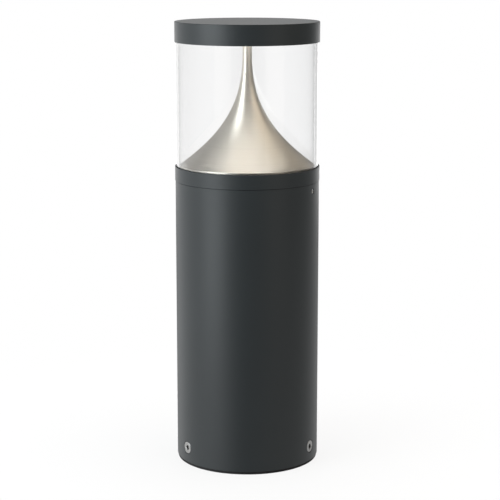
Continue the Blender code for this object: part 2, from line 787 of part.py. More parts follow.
def head_collar(finish, parent):
    """The casting that fits into the post and carries the lens, the reflector and the tray."""
    made = turned(
        "head_collar",
        [
            (COLLAR_BORE, SPIGOT_BOTTOM),
            (SPIGOT_RADIUS - 0.0010, SPIGOT_BOTTOM),
            (SPIGOT_RADIUS, SPIGOT_BOTTOM + 0.0010),
            (SPIGOT_RADIUS, SEAL_GROOVE[0]),
            (SEAL_GROOVE_FLOOR, SEAL_GROOVE[0]),
            (SEAL_GROOVE_FLOOR, SEAL_GROOVE[1]),
            (SPIGOT_RADIUS, SEAL_GROOVE[1]),
            (SPIGOT_RADIUS, COLLAR_BOTTOM),
            (COLLAR_RADIUS, COLLAR_BOTTOM),
            (COLLAR_RADIUS, COLLAR_TOP),
            (GROOVE_OUTER, COLLAR_TOP),
            (GROOVE_OUTER, GROOVE_FLOOR),
            (GROOVE_INNER, GROOVE_FLOOR),
            (GROOVE_INNER, REFLECTOR_SEAT),
            (COLLAR_BORE, REFLECTOR_SEAT),
            (COLLAR_BORE, SEAT_TOP),
            (SEAT_BORE, SEAT_TOP),
            (SEAT_BORE, SEAT_BOTTOM),
            (COLLAR_BORE, SEAT_BOTTOM),
        ],
    )
    place(made, finish, parent)
    for number, angle in enumerate(BRIDGE_SCREW_ANGLES, 1):
        start = around(angle, BRIDGE_SCREW_CIRCLE, SEAT_BOTTOM - OVERSHOOT)
        end = around(angle, BRIDGE_SCREW_CIRCLE, SEAT_TOP + OVERSHOOT)
        drill(made, f"seat_hole_{number}", BRIDGE_HOLE, start, end)


def flat_ring(name, inner, outer, bottom, top, finish, parent, sides=RING_SIDES):
    outline = [(inner, bottom), (outer, bottom), (outer, top), (inner, top)]
    return place(turned(name, outline, sides), finish, parent)


def seals(finish, parent):
    """The ring in the spigot's groove, and the gaskets below and above the lens."""
    seal_middle = (SEAL_GROOVE[0] + SEAL_GROOVE[1]) / 2
    seal_circle = POST_BORE - GAP - SEAL_SECTION
    sides = 6
    outline = []
    for side in range(sides):
        turn = math.tau * side / sides
        radius = seal_circle + SEAL_SECTION * math.cos(turn)
        outline.append((radius, seal_middle + SEAL_SECTION * math.sin(turn)))
    place(turned("spigot_seal", outline), finish, parent)
    lower = GROOVE_FLOOR + GAP
    flat_ring("lower_gasket", GASKET_INNER, GASKET_OUTER, lower, lower + GASKET_THICKNESS, finish, parent)
    upper = CAP_GROOVE_ROOF - GAP
    flat_ring("upper_gasket", GASKET_INNER, GASKET_OUTER, upper - GASKET_THICKNESS, upper, finish, parent)


def reflector_radius(height):
    """The trumpet's radius: a slim neck that flares out faster and faster on its way down."""
    drop = max(0.0, (FLARE_TOP - height) / FLARE_HEIGHT)
    return NECK_RADIUS + FLARE_WIDTH * drop**FLARE_POWER


def reflector_cone(finish, parent):
    count = 11
    outer = [(RIM_RADIUS, REFLECTOR_SEAT + GAP), (RIM_RADIUS - 0.0003, RIM_TOP - 0.0010)]
    for number in range(count):
        height = RIM_TOP + 0.0004 + (FLARE_TOP - RIM_TOP) * (number / (count - 1)) ** 1.3
        outer.append((reflector_radius(height), height))
    outer.append((NECK_RADIUS, NECK_TOP))
    inner = [(NECK_RADIUS - REFLECTOR_WALL, NECK_TOP)]
    for number in range(len(outer) - 2, 1, -1):
        below = Vector(outer[number - 1])
        above = Vector(outer[number + 1])
        slope = (above - below).normalized()
        middle = Vector(outer[number]) - REFLECTOR_WALL * Vector((slope.y, -slope.x))
        inner.append(tuple(middle))
    inner.append((RIM_RADIUS - REFLECTOR_WALL, REFLECTOR_SEAT + GAP))
    place(turned("reflector_cone", outer + inner, REFLECTOR_SIDES), finish, parent)


def top_cap(finish, parent):
    made = turned(
        "top_cap",
        [
            (POST_RADIUS, CAP_BOTTOM),
            (POST_RADIUS, CAP_TOP),
            (0, CAP_TOP),
            (0, BOSS_BORE_TOP),
            (BOSS_BORE, BOSS_BORE_TOP),
            (BOSS_BORE, BOSS_BOTTOM),
            (BOSS_RADIUS, BOSS_BOTTOM),
            (BOSS_RADIUS, CAP_CEILING),
            (CAP_CAVITY, CAP_CEILING),
            (CAP_CAVITY, CAP_GROOVE_ROOF),
            (CAP_MOUTH, CAP_GROOVE_ROOF),
            (CAP_MOUTH, CAP_BOTTOM),
            (GROOVE_INNER, CAP_BOTTOM),
            (GROOVE_INNER, CAP_GROOVE_ROOF),
            (GROOVE_OUTER, CAP_GROOVE_ROOF),
            (GROOVE_OUTER, CAP_BOTTOM),
        ],
    )
    place(made, finish, parent)
    half = LEAD_SLOT_WIDTH / 2
    carve(
        made,
        "boss_slot",
        (-half, BOSS_BORE / 2, BOSS_BOTTOM - OVERSHOOT),
        (half, BOSS_RADIUS + OVERSHOOT, CAP_CEILING - 2 * OVERSHOOT),
    )
    for number, angle in enumerate(LAMP_SCREW_ANGLES, 1):
        start = around(angle, LAMP_SCREW_CIRCLE, CAP_CEILING - OVERSHOOT)
        end = around(angle, LAMP_SCREW_CIRCLE, CAP_CEILING + 0.0040)
        drill(made, f"cap_thread_{number}", FINE_HOLE, start, end)


def lamp(board_finish, spreader_finish, diffuser_finish, steel, parent):
    """Heat spreader against the cap, LED board under it, diffuser over the whole mouth."""
    centre_hole = BOSS_RADIUS + LOOSE
    spreader = flat_ring(
        "heat_spreader",
        centre_hole,
        SPREADER_RADIUS,
        SPREADER_BOTTOM,
        SPREADER_TOP,
        spreader_finish,
        parent,
    )
    board = flat_ring("led_board", centre_hole, BOARD_RADIUS, BOARD_BOTTOM, BOARD_TOP, board_finish, parent)
    for number in range(LED_COUNT):
        angle = (number + 0.5) * 360 / LED_COUNT
        half = LED_SIZE / 2
        chip = block(f"led_{number}", (-half, -half, -LED_HEIGHT), (half, half, LED_HEIGHT))
        chip.location = around(angle, LED_CIRCLE, BOARD_BOTTOM)
        chip.rotation_euler.z = math.radians(angle)
        combine(board, chip, "UNION")
    for number, angle in enumerate(LAMP_SCREW_ANGLES, 1):
        low = around(angle, LAMP_SCREW_CIRCLE, BOARD_BOTTOM - OVERSHOOT)
        high = around(angle, LAMP_SCREW_CIRCLE, SPREADER_TOP + OVERSHOOT)
        drill(spreader, f"spreader_hole_{number}", FINE_HOLE, low, high)
        drill(board, f"board_hole_{number}", FINE_HOLE, low, high)
        seat = around(angle, LAMP_SCREW_CIRCLE, BOARD_BOTTOM - GAP)
        screw(f"lamp_screw_{number}", LAMP_SCREW, 0.0090, steel, parent, seat, (0, 0, -1))
    hole = ROD_RADIUS + 2 * LOOSE
    flat_ring("diffuser", hole, DIFFUSER_RADIUS, DIFFUSER_BOTTOM, DIFFUSER_TOP, diffuser_finish, parent)


def tie_rod(finish, parent):
    """A hollow rod from the bridge plate to the cap: it clamps the lens, and carries the LED lead."""
    rod = flat_ring("tie_rod", ROD_BORE, ROD_RADIUS, ROD_BOTTOM, ROD_TOP, finish, parent, 16)
    half = LEAD_SLOT_WIDTH / 2
    carve(
        rod,
        "rod_slot",
        (-half, ROD_BORE / 2, LEAD_SLOT_BOTTOM),
        (half, ROD_RADIUS + OVERSHOOT, ROD_TOP + OVERSHOOT),
    )
    bore = ROD_RADIUS + 2 * LOOSE
    washer_top = BRIDGE_BOTTOM - GAP
    washer_bottom = washer_top - ROD_WASHER_THICKNESS
    flat_ring("rod_washer", bore, ROD_WASHER_RADIUS, washer_bottom, washer_top, finish, parent, 18)
    seat = (0, 0, washer_bottom - GAP - ROD_NUT_HEIGHT)
    hex_nut("rod_nut", bore, ROD_NUT_CORNER, ROD_NUT_HEIGHT, finish, parent, seat)


def hex_nut(name, bore, corner_radius, height, finish, parent, location):
    outline = [(bore, 0), (corner_radius, 0), (corner_radius, height), (bore, height)]
    made = turned(name, outline, SMALL_SIDES, hexagonal=(1, 2))
    place(made, finish, parent, location)


def bridge_plate(plate_finish, steel, parent):
    hole = ROD_RADIUS + LOOSE
    made = flat_ring("bridge_plate", hole, BRIDGE_RADIUS, BRIDGE_BOTTOM, BRIDGE_TOP, plate_finish, parent)
    down = Vector((0, 0, BRIDGE_BOTTOM - BRIDGE_TOP - 2 * OVERSHOOT))
    up = Vector((0, 0, OVERSHOOT))
    for number, angle in enumerate(BRIDGE_SCREW_ANGLES, 1):
        seat = around(angle, BRIDGE_SCREW_CIRCLE, BRIDGE_TOP + GAP)
        drill(made, f"bridge_hole_{number}", BRIDGE_HOLE, seat + down, seat + up)
        screw(f"bridge_screw_{number}", BRIDGE_SCREW, 0.0120, steel, parent, seat, (0, 0, 1))
    for number, side in enumerate((-1, 1), 1):
        seat = Vector((side * TRAY_SCREW_X, TRAY_SCREW_Y, BRIDGE_TOP + GAP))
        drill(made, f"bridge_tray_hole_{number}", HEAVY_HOLE, seat + down, seat + up)
        screw(f"tray_screw_{number}", HEAVY_SCREW, 0.0130, steel, parent, seat, (0, 0, 1))


def gear_tray(zinc, steel, parent):
    back = TRAY_FRONT + TRAY_SHEET
    outline = [
        (TRAY_SHELF_FRONT, TRAY_BOTTOM),
        (back, TRAY_BOTTOM),
        (back, TRAY_TOP - TRAY_SHEET),
        (TRAY_TAB_BACK, TRAY_TOP - TRAY_SHEET),
        (TRAY_TAB_BACK, TRAY_TOP),
        (TRAY_FRONT, TRAY_TOP),
        (TRAY_FRONT, TRAY_BOTTOM + TRAY_SHEET),
        (TRAY_SHELF_FRONT, TRAY_BOTTOM + TRAY_SHEET),
    ]
    made = place(bent_sheet("gear_tray", outline, TRAY_WIDTH), zinc, parent)
    shelf_top = TRAY_BOTTOM + TRAY_SHEET
    carve(made, "plug_cutout", *dock_box(PLUG_CUTOUT_HALF, TRAY_BOTTOM - OVERSHOOT, shelf_top + OVERSHOOT))
    for number, side in enumerate((-1, 1), 1):
        x = side * TRAY_SCREW_X
        low = (x, TRAY_SCREW_Y, TRAY_TOP - TRAY_SHEET - OVERSHOOT)
        drill(made, f"tab_hole_{number}", HEAVY_HOLE, low, (x, TRAY_SCREW_Y, TRAY_TOP + OVERSHOOT))
        seat = (x, TRAY_SCREW_Y, TRAY_TOP - TRAY_SHEET - GAP - TRAY_NUT_HEIGHT)
        hex_nut(f"tray_nut_{number}", HEAVY_HOLE, TRAY_NUT_CORNER, TRAY_NUT_HEIGHT, steel, parent, seat)
    for number, height in enumerate(ear_heights(), 1):
        start = (0, TRAY_FRONT - OVERSHOOT, height)
        drill(made, f"tray_driver_hole_{number}", LIGHT_HOLE, start, (0, back + OVERSHOOT, height))


def ear_heights():
    """Where the driver's two screws go, below and above its case."""
    return (DRIVER_LOW[2] - EAR_LENGTH / 2, DRIVER_HIGH[2] + EAR_LENGTH / 2)


def driver(finish, steel, parent):
    made = block("led_driver", DRIVER_LOW, DRIVER_HIGH)
    place(made, finish, parent, made.location)
    back = DRIVER_HIGH[1]
    front = back - EAR_THICKNESS
    weld(
        made,
        "driver_ears",
        (-EAR_HALF_WIDTH, front, DRIVER_LOW[2] - EAR_LENGTH),
        (EAR_HALF_WIDTH, back, DRIVER_HIGH[2] + EAR_LENGTH),
    )
    for number, height in enumerate(ear_heights(), 1):
        start = (0, front - OVERSHOOT, height)
        drill(made, f"ear_hole_{number}", LIGHT_HOLE, start, (0, back + OVERSHOOT, height))
        seat = (0, front - GAP, height)
        screw(f"driver_screw_{number}", LIGHT_SCREW, 0.0080, steel, parent, seat, (0, -1, 0))


def dock_plug(finish, parent):
    """Hangs from the tray's shelf, with its pins inside a shroud that guides it on."""
    across, deep = SHROUD_HALF
    shroud_top = TRAY_BOTTOM - GAP
    upper_bottom = TRAY_BOTTOM + TRAY_SHEET + GAP
    made = block("dock_plug", *dock_box(SHROUD_HALF, SHROUD_BOTTOM, shroud_top))
    place(made, finish, parent, made.location)
    room_half = (across - SHROUD_WALL, deep - SHROUD_WALL)
    carve(made, "shroud_room", *dock_box(room_half, SHROUD_BOTTOM - OVERSHOOT, SHROUD_CEILING))
    weld(made, "plug_neck", *dock_box(PLUG_NECK_HALF, shroud_top - OVERSHOOT, upper_bottom + OVERSHOOT))
    weld(made, "plug_upper", *dock_box(PLUG_UPPER_HALF, upper_bottom, PLUG_UPPER_TOP))
    for number, x in enumerate(DOCK_PINS, 1):
        tip = (x, DOCK_Y, PIN_TIP)
        root = (x, DOCK_Y, SHROUD_CEILING + OVERSHOOT)
        combine(made, rod_between(f"plug_pin_{number}", PIN_RADIUS, tip, root, 8), "UNION")


def head_leads(finish, parent):
    supply_route = [
        (0, DOCK_Y, PLUG_UPPER_TOP + 2 * GAP),
        (0, DOCK_Y, 0.1980),
        (0, 0.0070, 0.2120),
        (0, 0.0060, 0.2270),
        (0, 0.0060, 0.2345),
    ]
    lead("supply_lead", supply_route, SUPPLY_LEAD_RADIUS, finish, parent)
    lamp_route = [
        (0, 0.0060, DRIVER_HIGH[2] + 2 * GAP),
        (0, 0.0060, 0.3480),
        (0, 0.0010, 0.3590),
        (0, 0, 0.3700),
        (0, 0, 0.5600),
        (0, 0.0015, 0.5660),
        (0, 0.0080, 0.5685),
        (0, 0.0150, 0.5695),
        (0, 0.0170, 0.5715),
        (0, 0.0170, BOARD_BOTTOM - 2 * GAP),
    ]
    lead("led_lead", lamp_route, LAMP_LEAD_RADIUS, finish, parent)


def build():
    clear_scene()
    anthracite = material("anthracite_powder_coat", (0.036, 0.042, 0.045), 0.45, 0.0)
    satin_metal = material("satin_champagne_metal", (0.66, 0.60, 0.50), 0.32, 1.0)
    clear_plastic = material("clear_acrylic", (0.95, 0.97, 0.97), 0.03, 0.0, 0.25)
    opal_plastic = material("opal_acrylic", (0.88, 0.87, 0.83), 0.40)
    seal_rubber = material("seal_rubber", (0.012, 0.012, 0.012), 0.80)
    bare_metal = material("cast_metal", (0.52, 0.53, 0.54), 0.45, 1.0)
    zinc_sheet = material("zinc_sheet", (0.60, 0.61, 0.63), 0.38, 1.0)
    stainless = material("stainless_steel", (0.62, 0.62, 0.61), 0.28, 1.0)
    grey_plastic = material("grey_plastic", (0.40, 0.41, 0.42), 0.55)
    black_plastic = material("black_plastic", (0.020, 0.020, 0.022), 0.50)
    white_plastic = material("white_plastic", (0.78, 0.78, 0.76), 0.45)
    board_white = material("white_solder_mask", (0.80, 0.80, 0.78), 0.35)
    lead_grey = material("lead_sheath", (0.14, 0.14, 0.15), 0.55)
    earth_green = material("earth_sheath", (0.10, 0.42, 0.08), 0.50)
    tinned_copper = material("tinned_copper", (0.66, 0.62, 0.58), 0.35, 1.0)

    post = bpy.data.objects.new("post", None)
    head = bpy.data.objects.new("head", None)
    head.location.z = COLLAR_BOTTOM
    for empty in (post, head):
        bpy.context.scene.collection.objects.link(empty)

    base_gasket(seal_rubber, post)
    base_flange(bare_metal, post)
    body_tube(anthracite, post)
    base_screws(stainless, post)
    grub_screws(stainless, post)
    box_bracket(zinc_sheet, stainless, post)
    terminal_box(grey_plastic, stainless, post)
    terminal_block(white_plastic, post)
    cable_gland(black_plastic, post)
    dock_socket(black_plastic, post)
    post_leads(lead_grey, earth_green, stainless, tinned_copper, post)
    earth_grommet(seal_rubber, post)

    head_collar(anthracite, head)
    seals(seal_rubber, head)
    flat_ring("lens_tube", LENS_BORE, LENS_RADIUS, LENS_BOTTOM, LENS_TOP, clear_plastic, head)
    reflector_cone(satin_metal, head)
    top_cap(anthracite, head)
    lamp(board_white, bare_metal, opal_plastic, stainless, head)
    tie_rod(stainless, head)
    bridge_plate(zinc_sheet, stainless, head)
    gear_tray(zinc_sheet, stainless, head)
    driver(white_plastic, stainless, head)
    dock_plug(black_plastic, head)
    head_leads(lead_grey, head)


build()
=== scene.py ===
"""The looks of the bollard light: fine meshes for what shows, and a material for every piece.

Metres, +Z up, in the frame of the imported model. The front is -Y, and an angle round the post
is counted in degrees from the front towards +X.
"""

import json
import math

import bmesh
import bpy
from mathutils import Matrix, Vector


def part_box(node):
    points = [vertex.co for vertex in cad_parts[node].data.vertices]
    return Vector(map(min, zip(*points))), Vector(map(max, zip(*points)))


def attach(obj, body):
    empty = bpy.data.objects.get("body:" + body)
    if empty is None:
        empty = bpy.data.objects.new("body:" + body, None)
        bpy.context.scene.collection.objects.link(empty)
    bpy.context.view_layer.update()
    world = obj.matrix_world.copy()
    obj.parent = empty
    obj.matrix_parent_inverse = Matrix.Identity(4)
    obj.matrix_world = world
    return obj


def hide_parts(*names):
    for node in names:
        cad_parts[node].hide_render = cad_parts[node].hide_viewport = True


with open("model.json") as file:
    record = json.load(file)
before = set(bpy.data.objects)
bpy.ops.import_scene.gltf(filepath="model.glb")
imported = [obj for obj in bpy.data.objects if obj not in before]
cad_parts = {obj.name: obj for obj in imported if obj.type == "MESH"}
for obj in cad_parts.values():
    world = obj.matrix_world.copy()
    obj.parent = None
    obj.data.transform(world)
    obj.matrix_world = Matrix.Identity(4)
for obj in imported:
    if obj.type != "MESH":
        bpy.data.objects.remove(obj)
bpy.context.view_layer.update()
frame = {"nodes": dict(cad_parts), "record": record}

# How fine the meshes are
RING_SIDES = 192
LENS_SIDES = 256
SCREW_SIDES = 48
PAN_SCREW_SIDES = 36
PIN_SIDES = 24
SEAL_SIDES = 16
FILLET_STEPS = 4
SHARP_ANGLE = math.radians(32)
BEVEL_ANGLE = math.radians(35)
ROUND_TOLERANCE = 0.00006  # how far a vertex may lie from the cylinder that it belongs to
FLAT_TOLERANCE = 0.000001  # how far a vertex may lie from the flat face that it belongs to
SMOOTHEST = 0.02  # the least roughness that a varied surface has

# Fits, and the rounding of edges
GAP = 0.0003  # between two pieces that touch
OVERSHOOT = 0.0010  # how far a cutter passes the face that it cuts
HAIR = 0.0002
CRISP = 0.0003
EASED = 0.0004
SOFT = 0.0006

# Post tube and base gasket
POST_WALL = 0.0040
POST_TOP_EDGE = 0.0005
CABLE_ENTRY_RADIUS = 0.0300
ANCHOR_ANGLES = (0, 120, 240)
ANCHOR_CIRCLE = 0.0650
ANCHOR_HOLE = 0.0055

# Base screws and grub screws
BASE_SCREW_ANGLES = (60, 180, 300)
BASE_SCREW_HEIGHT = 0.0230
BASE_SCREW_HEAD = 0.0080
BASE_SCREW_SHANK = 0.0040
BASE_SCREW_SINK = BASE_SCREW_HEAD - BASE_SCREW_SHANK
BASE_SCREW_FACE = 0.0946
BASE_SCREW_LENGTH = 0.0160
BASE_SCREW_TIP = 0.0010
BASE_SCREW_SOCKET = 0.0034
BASE_SCREW_SOCKET_DEPTH = 0.0055
COUNTERSINK_CLEARANCE = 0.0008
COUNTERSINK_DEPTH = 0.0080
COUNTERSINK_RISE = 0.0020
GRUB_ANGLES = (62, 242)
GRUB_HEIGHT = 0.3680
GRUB_RADIUS = 0.0030
GRUB_FACE = 0.0943
GRUB_LENGTH = 0.0035
GRUB_TIP = 0.0006
GRUB_SOCKET = 0.0017
GRUB_SOCKET_DEPTH = 0.0020
GRUB_CLEARANCE = 0.0006
GRUB_HOLE_SIDES = 42
DRILL_POINT = 0.4  # the depth of a socket's drill point against its radius
CHAMFER_SLOPE = 1.5  # the depth of a socket's chamfer against its width

# Collar, and the groove of the lens that the cap repeats
SPIGOT_RADIUS = 0.0905
SPIGOT_LEAD_IN = 0.0009
COLLAR_BORE = 0.0845
SEAT_BORE = 0.0760
SEAT_BOTTOM = 0.3700
SEAT_TOP = 0.3800
SEAL_GROOVE = (0.3505, 0.3537)
SEAL_GROOVE_FLOOR = 0.0889
SEAL_SECTION = 0.00075
GROOVE_INNER = 0.0895
GROOVE_OUTER = 0.0939
GROOVE_FLOOR = 0.3840
COLLAR_INNER_TOP = 0.3960
LENS_WALL = 0.0035
GASKET_BORE = 0.0899
DIFFUSER_BORE = 0.0048

# Cap
CAP_LOWER_EDGE = 0.0005
CAP_UPPER_EDGE = 0.0007
CAP_GROOVE_TOP = 0.5650
CAP_CEILING = 0.5795
CAP_ROOM = 0.0840
CAP_SKIRT = 0.0860
BOSS_RADIUS = 0.0090
BOSS_BOTTOM = 0.5660
ROD_HOLE = 0.0044
ROD_HOLE_TOP = 0.5820
BOSS_SLOT_HALF = 0.0018
BOSS_SLOT_START = 0.0022
BOSS_SLOT_TOP = 0.5775

# Reflector
REFLECTOR_WALL = 0.0015
REFLECTOR_ROWS = 110
ROW_CROWDING = 1.4  # above 1, the rows lie closer together near the rim
NECK_RADIUS = 0.0061
FLARE_TOP = 0.5500
FLARE_HEIGHT = 0.1520
FLARE_WIDTH = 0.0830
FLARE_POWER = 2.6
RIM_TOP = 0.3992
RIM_BEND = 0.0014
RIM_INSET = 0.0008

# Gear tray, driver and the driver's screws
TRAY_SHEET = 0.0020
TRAY_FRONT = 0.0240
TRAY_INNER_BEND = 0.0015
TRAY_TAB_SPREAD = 0.0200
TRAY_TAB_HOLE_Y = 0.0380
TRAY_TAB_HOLE = 0.0029
TRAY_CUTOUT_ROOM = 0.0005
DRIVER_EAR = 0.0100
DRIVER_EAR_HALF = 0.0080
DRIVER_EAR_THICKNESS = 0.0030
DRIVER_EDGE = 0.0007
DRIVER_HOLE = 0.0023
FIN_COUNT = 7
FIN_PITCH = 0.0060
FIN_GAP = 0.0024
FIN_DEPTH = 0.0016
FIN_MARGIN = 0.0200
PARTING_LINE_Y = 0.0110
PARTING_LINE_WIDTH = 0.0008
PARTING_LINE_DEPTH = 0.0007
PAN_HEAD = 0.0038
PAN_HEAD_HEIGHT = 0.0028
PAN_SOCKET = PAN_HEAD * 0.5
PAN_SOCKET_DEPTH = PAN_HEAD_HEIGHT * 0.65
PAN_ROUNDING = PAN_HEAD_HEIGHT * 0.4
PAN_SHANK = 0.0019
PAN_LENGTH = 0.0080
PAN_TIP = 0.0005

# Docking plug
PLUG_NECK_HALF = Vector((0.0130, 0.0050))
PLUG_UPPER_HALF = Vector((0.0160, 0.0075))
SHROUD_WALL = 0.0020
SHROUD_TOP = 0.1710
GRIP_COUNT = 5
GRIP_START = 0.0050
GRIP_PITCH = 0.0040
GRIP_WIDTH = 0.0016
GRIP_DEPTH = 0.00071
PIN_PITCH = 0.0090
PIN_BOTTOM = 0.1550
PIN_LENGTH = 0.0168
PIN_RADIUS = 0.0012
PIN_POINT = 0.0010

# Leads of the head
SUPPLY_LEAD_RADIUS = 0.0030
LAMP_LEAD_RADIUS = 0.0012
LEAD_SHEATH_STEPS = 6
ROUTE_STEPS = 8

# Camera
CAMERA_ANGLE = -2.15
CAMERA_DISTANCE = 2.10
CAMERA_HEIGHT = 0.690
CAMERA_PITCH = 10.99
CAMERA_ASIDE = 0.098
CAMERA_SENSOR = 36.0
CAMERA_FOCAL = 3.2 * CAMERA_SENSOR
CAMERA_NEAR = 0.05

# Floor
FLOOR_SIDES = 96
FLOOR_RINGS = (0.15, 0.30, 0.60, 1.20, 2.40)
FLOOR_DROP = 0.0002
FADE_START = 0.10
FADE_END = 0.60
FADE_AT_START = 0.84

# The surroundings' light. A slope is an axis, where the light begins and ends along it, and its amount.
WHITE = (1.0, 1.0, 1.0, 1.0)
WORLD_BASE = 0.05
WORLD_SLOPES = (("Y", 0.20, 1.00, 0.36), ("X", -0.20, -0.75, 0.98))
WORLD_CEILING = ("Z", -0.12, 0.50, -0.70)
WORLD_GROUND = ("Z", -0.02, -0.38, 0.60)
WORLD_GROUND_SIDE = ("X", -0.30, 0.80, 0.80)

# Tints of the soft boxes
COOL = (0.91, 0.975, 1.0)
NEUTRAL = (1.0, 1.0, 1.0)
CREAM = (1.0, 0.92, 0.82)
STRAW = (1.0, 0.86, 0.67)
AMBER = (1.0, 0.84, 0.64)


# Points and meshes


def around(angle, radius, height):
    turn = math.radians(angle)
    return Vector((radius * math.sin(turn), -radius * math.cos(turn), height))


def filleted(corners):
    """Rounds an outline's corners: each is (a, b) or (a, b, radius of the rounding)."""
    count = len(corners)
    path = []
    for number, corner in enumerate(corners):
        point = Vector(corner[:2])
        if len(corner) < 3:
            path.append(tuple(point))
            continue
        back = (Vector(corners[number - 1][:2]) - point).normalized()
        ahead = (Vector(corners[(number + 1) % count][:2]) - point).normalized()
        half = back.angle(ahead) / 2
        reach = corner[2] / math.tan(half)
        centre = point + (back + ahead).normalized() * corner[2] / math.sin(half)
        start = (point + back * reach - centre).normalized()
        end = (point + ahead * reach - centre).normalized()
        for step in range(FILLET_STEPS + 1):
            path.append(tuple(centre + start.slerp(end, step / FILLET_STEPS) * corner[2]))
    return path


def link(name, data):
    """Puts a mesh, curve, light or camera in the scene as an object."""
    made = bpy.data.objects.new(name, data)
    bpy.context.scene.collection.objects.link(made)
    return made


def mesh_of(name, points, faces):
    mesh = bpy.data.meshes.new(name)
    mesh.from_pydata([tuple(point) for point in points], [], [tuple(face) for face in faces])
    shape = bmesh.new()
    shape.from_mesh(mesh)
    bmesh.ops.recalc_face_normals(shape, faces=shape.faces)
    shape.to_mesh(mesh)
    shape.free()
    return mesh


def turned(name, outline, sides=RING_SIDES, hexagonal=()):
    """A closed outline of (radius, height) spun about Z. Points numbered in hexagonal follow a hexagon."""
    points = []
    rings = []
    for number, (radius, height) in enumerate(outline):
        if radius == 0:
            rings.append([len(points)] * sides)
            points.append((0, 0, height))
            continue
        rings.append(range(len(points), len(points) + sides))
        for side in range(sides):
            turn = math.tau * side / sides
            reach = radius
            if number in hexagonal:
                reach *= math.cos(math.pi / 6) / math.cos(turn % (math.pi / 3) - math.pi / 6)
            points.append((reach * math.cos(turn), reach * math.sin(turn), height))
    faces = []
    for number, ring in enumerate(rings):
        following = rings[(number + 1) % len(rings)]
        for side in range(sides):
            ahead = (side + 1) % sides
            corners = list(dict.fromkeys([ring[side], ring[ahead], following[ahead], following[side]]))
            if len(corners) > 2:
                faces.append(corners)
    return link(name, mesh_of(name, points, faces))


def extruded(name, outline, width):
    """An outline of (y, z) points pushed across X."""
    count = len(outline)
    points = [(side * width / 2, y, z) for side in (-1, 1) for y, z in outline]
    faces = [range(count), range(count, 2 * count)]
    for number in range(count):
        ahead = (number + 1) % count
        faces.append((number, ahead, ahead + count, number + count))
    return link(name, mesh_of(name, points, faces))


def block(name, low, high):
    ends = list(zip(low, high))
    points = [(x, y, z) for x in ends[0] for y in ends[1] for z in ends[2]]
    faces = [(0, 1, 3, 2), (4, 6, 7, 5), (0, 4, 5, 1), (2, 3, 7, 6), (0, 2, 6, 4), (1, 5, 7, 3)]
    return link(name, mesh_of(name, points, faces))


def bar(name, radius, start, end, sides=SCREW_SIDES):
    start = Vector(start)
    span = Vector(end) - start
    made = turned(name, [(0, 0), (radius, 0), (radius, span.length), (0, span.length)], sides)
    aim(made, start, span)
    return made


def aim(thing, place, along):
    thing.location = place
    thing.rotation_euler = Vector(along).to_track_quat("Z", "Y").to_euler()


def combine(target, tools, operation="DIFFERENCE"):
    """Cuts the tools from the target or joins them to it, for good, and removes them."""
    for tool in tools:
        step = target.modifiers.new(tool.name, "BOOLEAN")
        step.operation = operation
        step.solver = "EXACT"
        step.object = tool
    bpy.context.view_layer.update()
    graph = bpy.context.evaluated_depsgraph_get()
    mesh = bpy.data.meshes.new_from_object(target.evaluated_get(graph))
    target.modifiers.clear()
    target.data = mesh
    for tool in tools:
        bpy.data.objects.remove(tool, do_unlink=True)


def soften(thing, width, steps):
    """Rounds every edge, as moulding or deburring leaves it."""
    rounding = thing.modifiers.new("rounding", "BEVEL")
    rounding.width = width
    rounding.segments = steps
    rounding.limit_method = "ANGLE"
    rounding.angle_limit = BEVEL_ANGLE
    rounding.use_clamp_overlap = True
    shade(thing)
    even = thing.modifiers.new("even_shading", "WEIGHTED_NORMAL")
    even.keep_sharp = True


def shade(thing, round_radii=()):
    """Smooth shading with sharp edges. Faces on the given radii get the cylinder's own normals."""
    mesh = thing.data
    mesh.shade_smooth()
    mesh.set_sharp_from_angle(angle=SHARP_ANGLE)
    if not round_radii:
        return
    normals = [Vector(corner.vector) for corner in mesh.corner_normals]
    radius_of = [Vector(vertex.co[:2]).length for vertex in mesh.vertices]
    for face in mesh.polygons:
        for radius in round_radii:
            if all(abs(radius_of[number] - radius) < ROUND_TOLERANCE for number in face.vertices):
                for corner in face.loop_indices:
                    place = mesh.vertices[mesh.loops[corner].vertex_index].co
                    outward = Vector((place.x, place.y, 0)).normalized()
                    normals[corner] = outward if outward.dot(face.normal) > 0 else -outward
    mesh.normals_split_custom_set(normals)


def finish_piece(thing, body, look, *nodes):
    """Gives a piece its material and its body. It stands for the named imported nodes."""
    thing.data.materials.clear()
    thing.data.materials.append(look)
    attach(thing, body)
    if nodes:
        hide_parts(*nodes)


# Materials


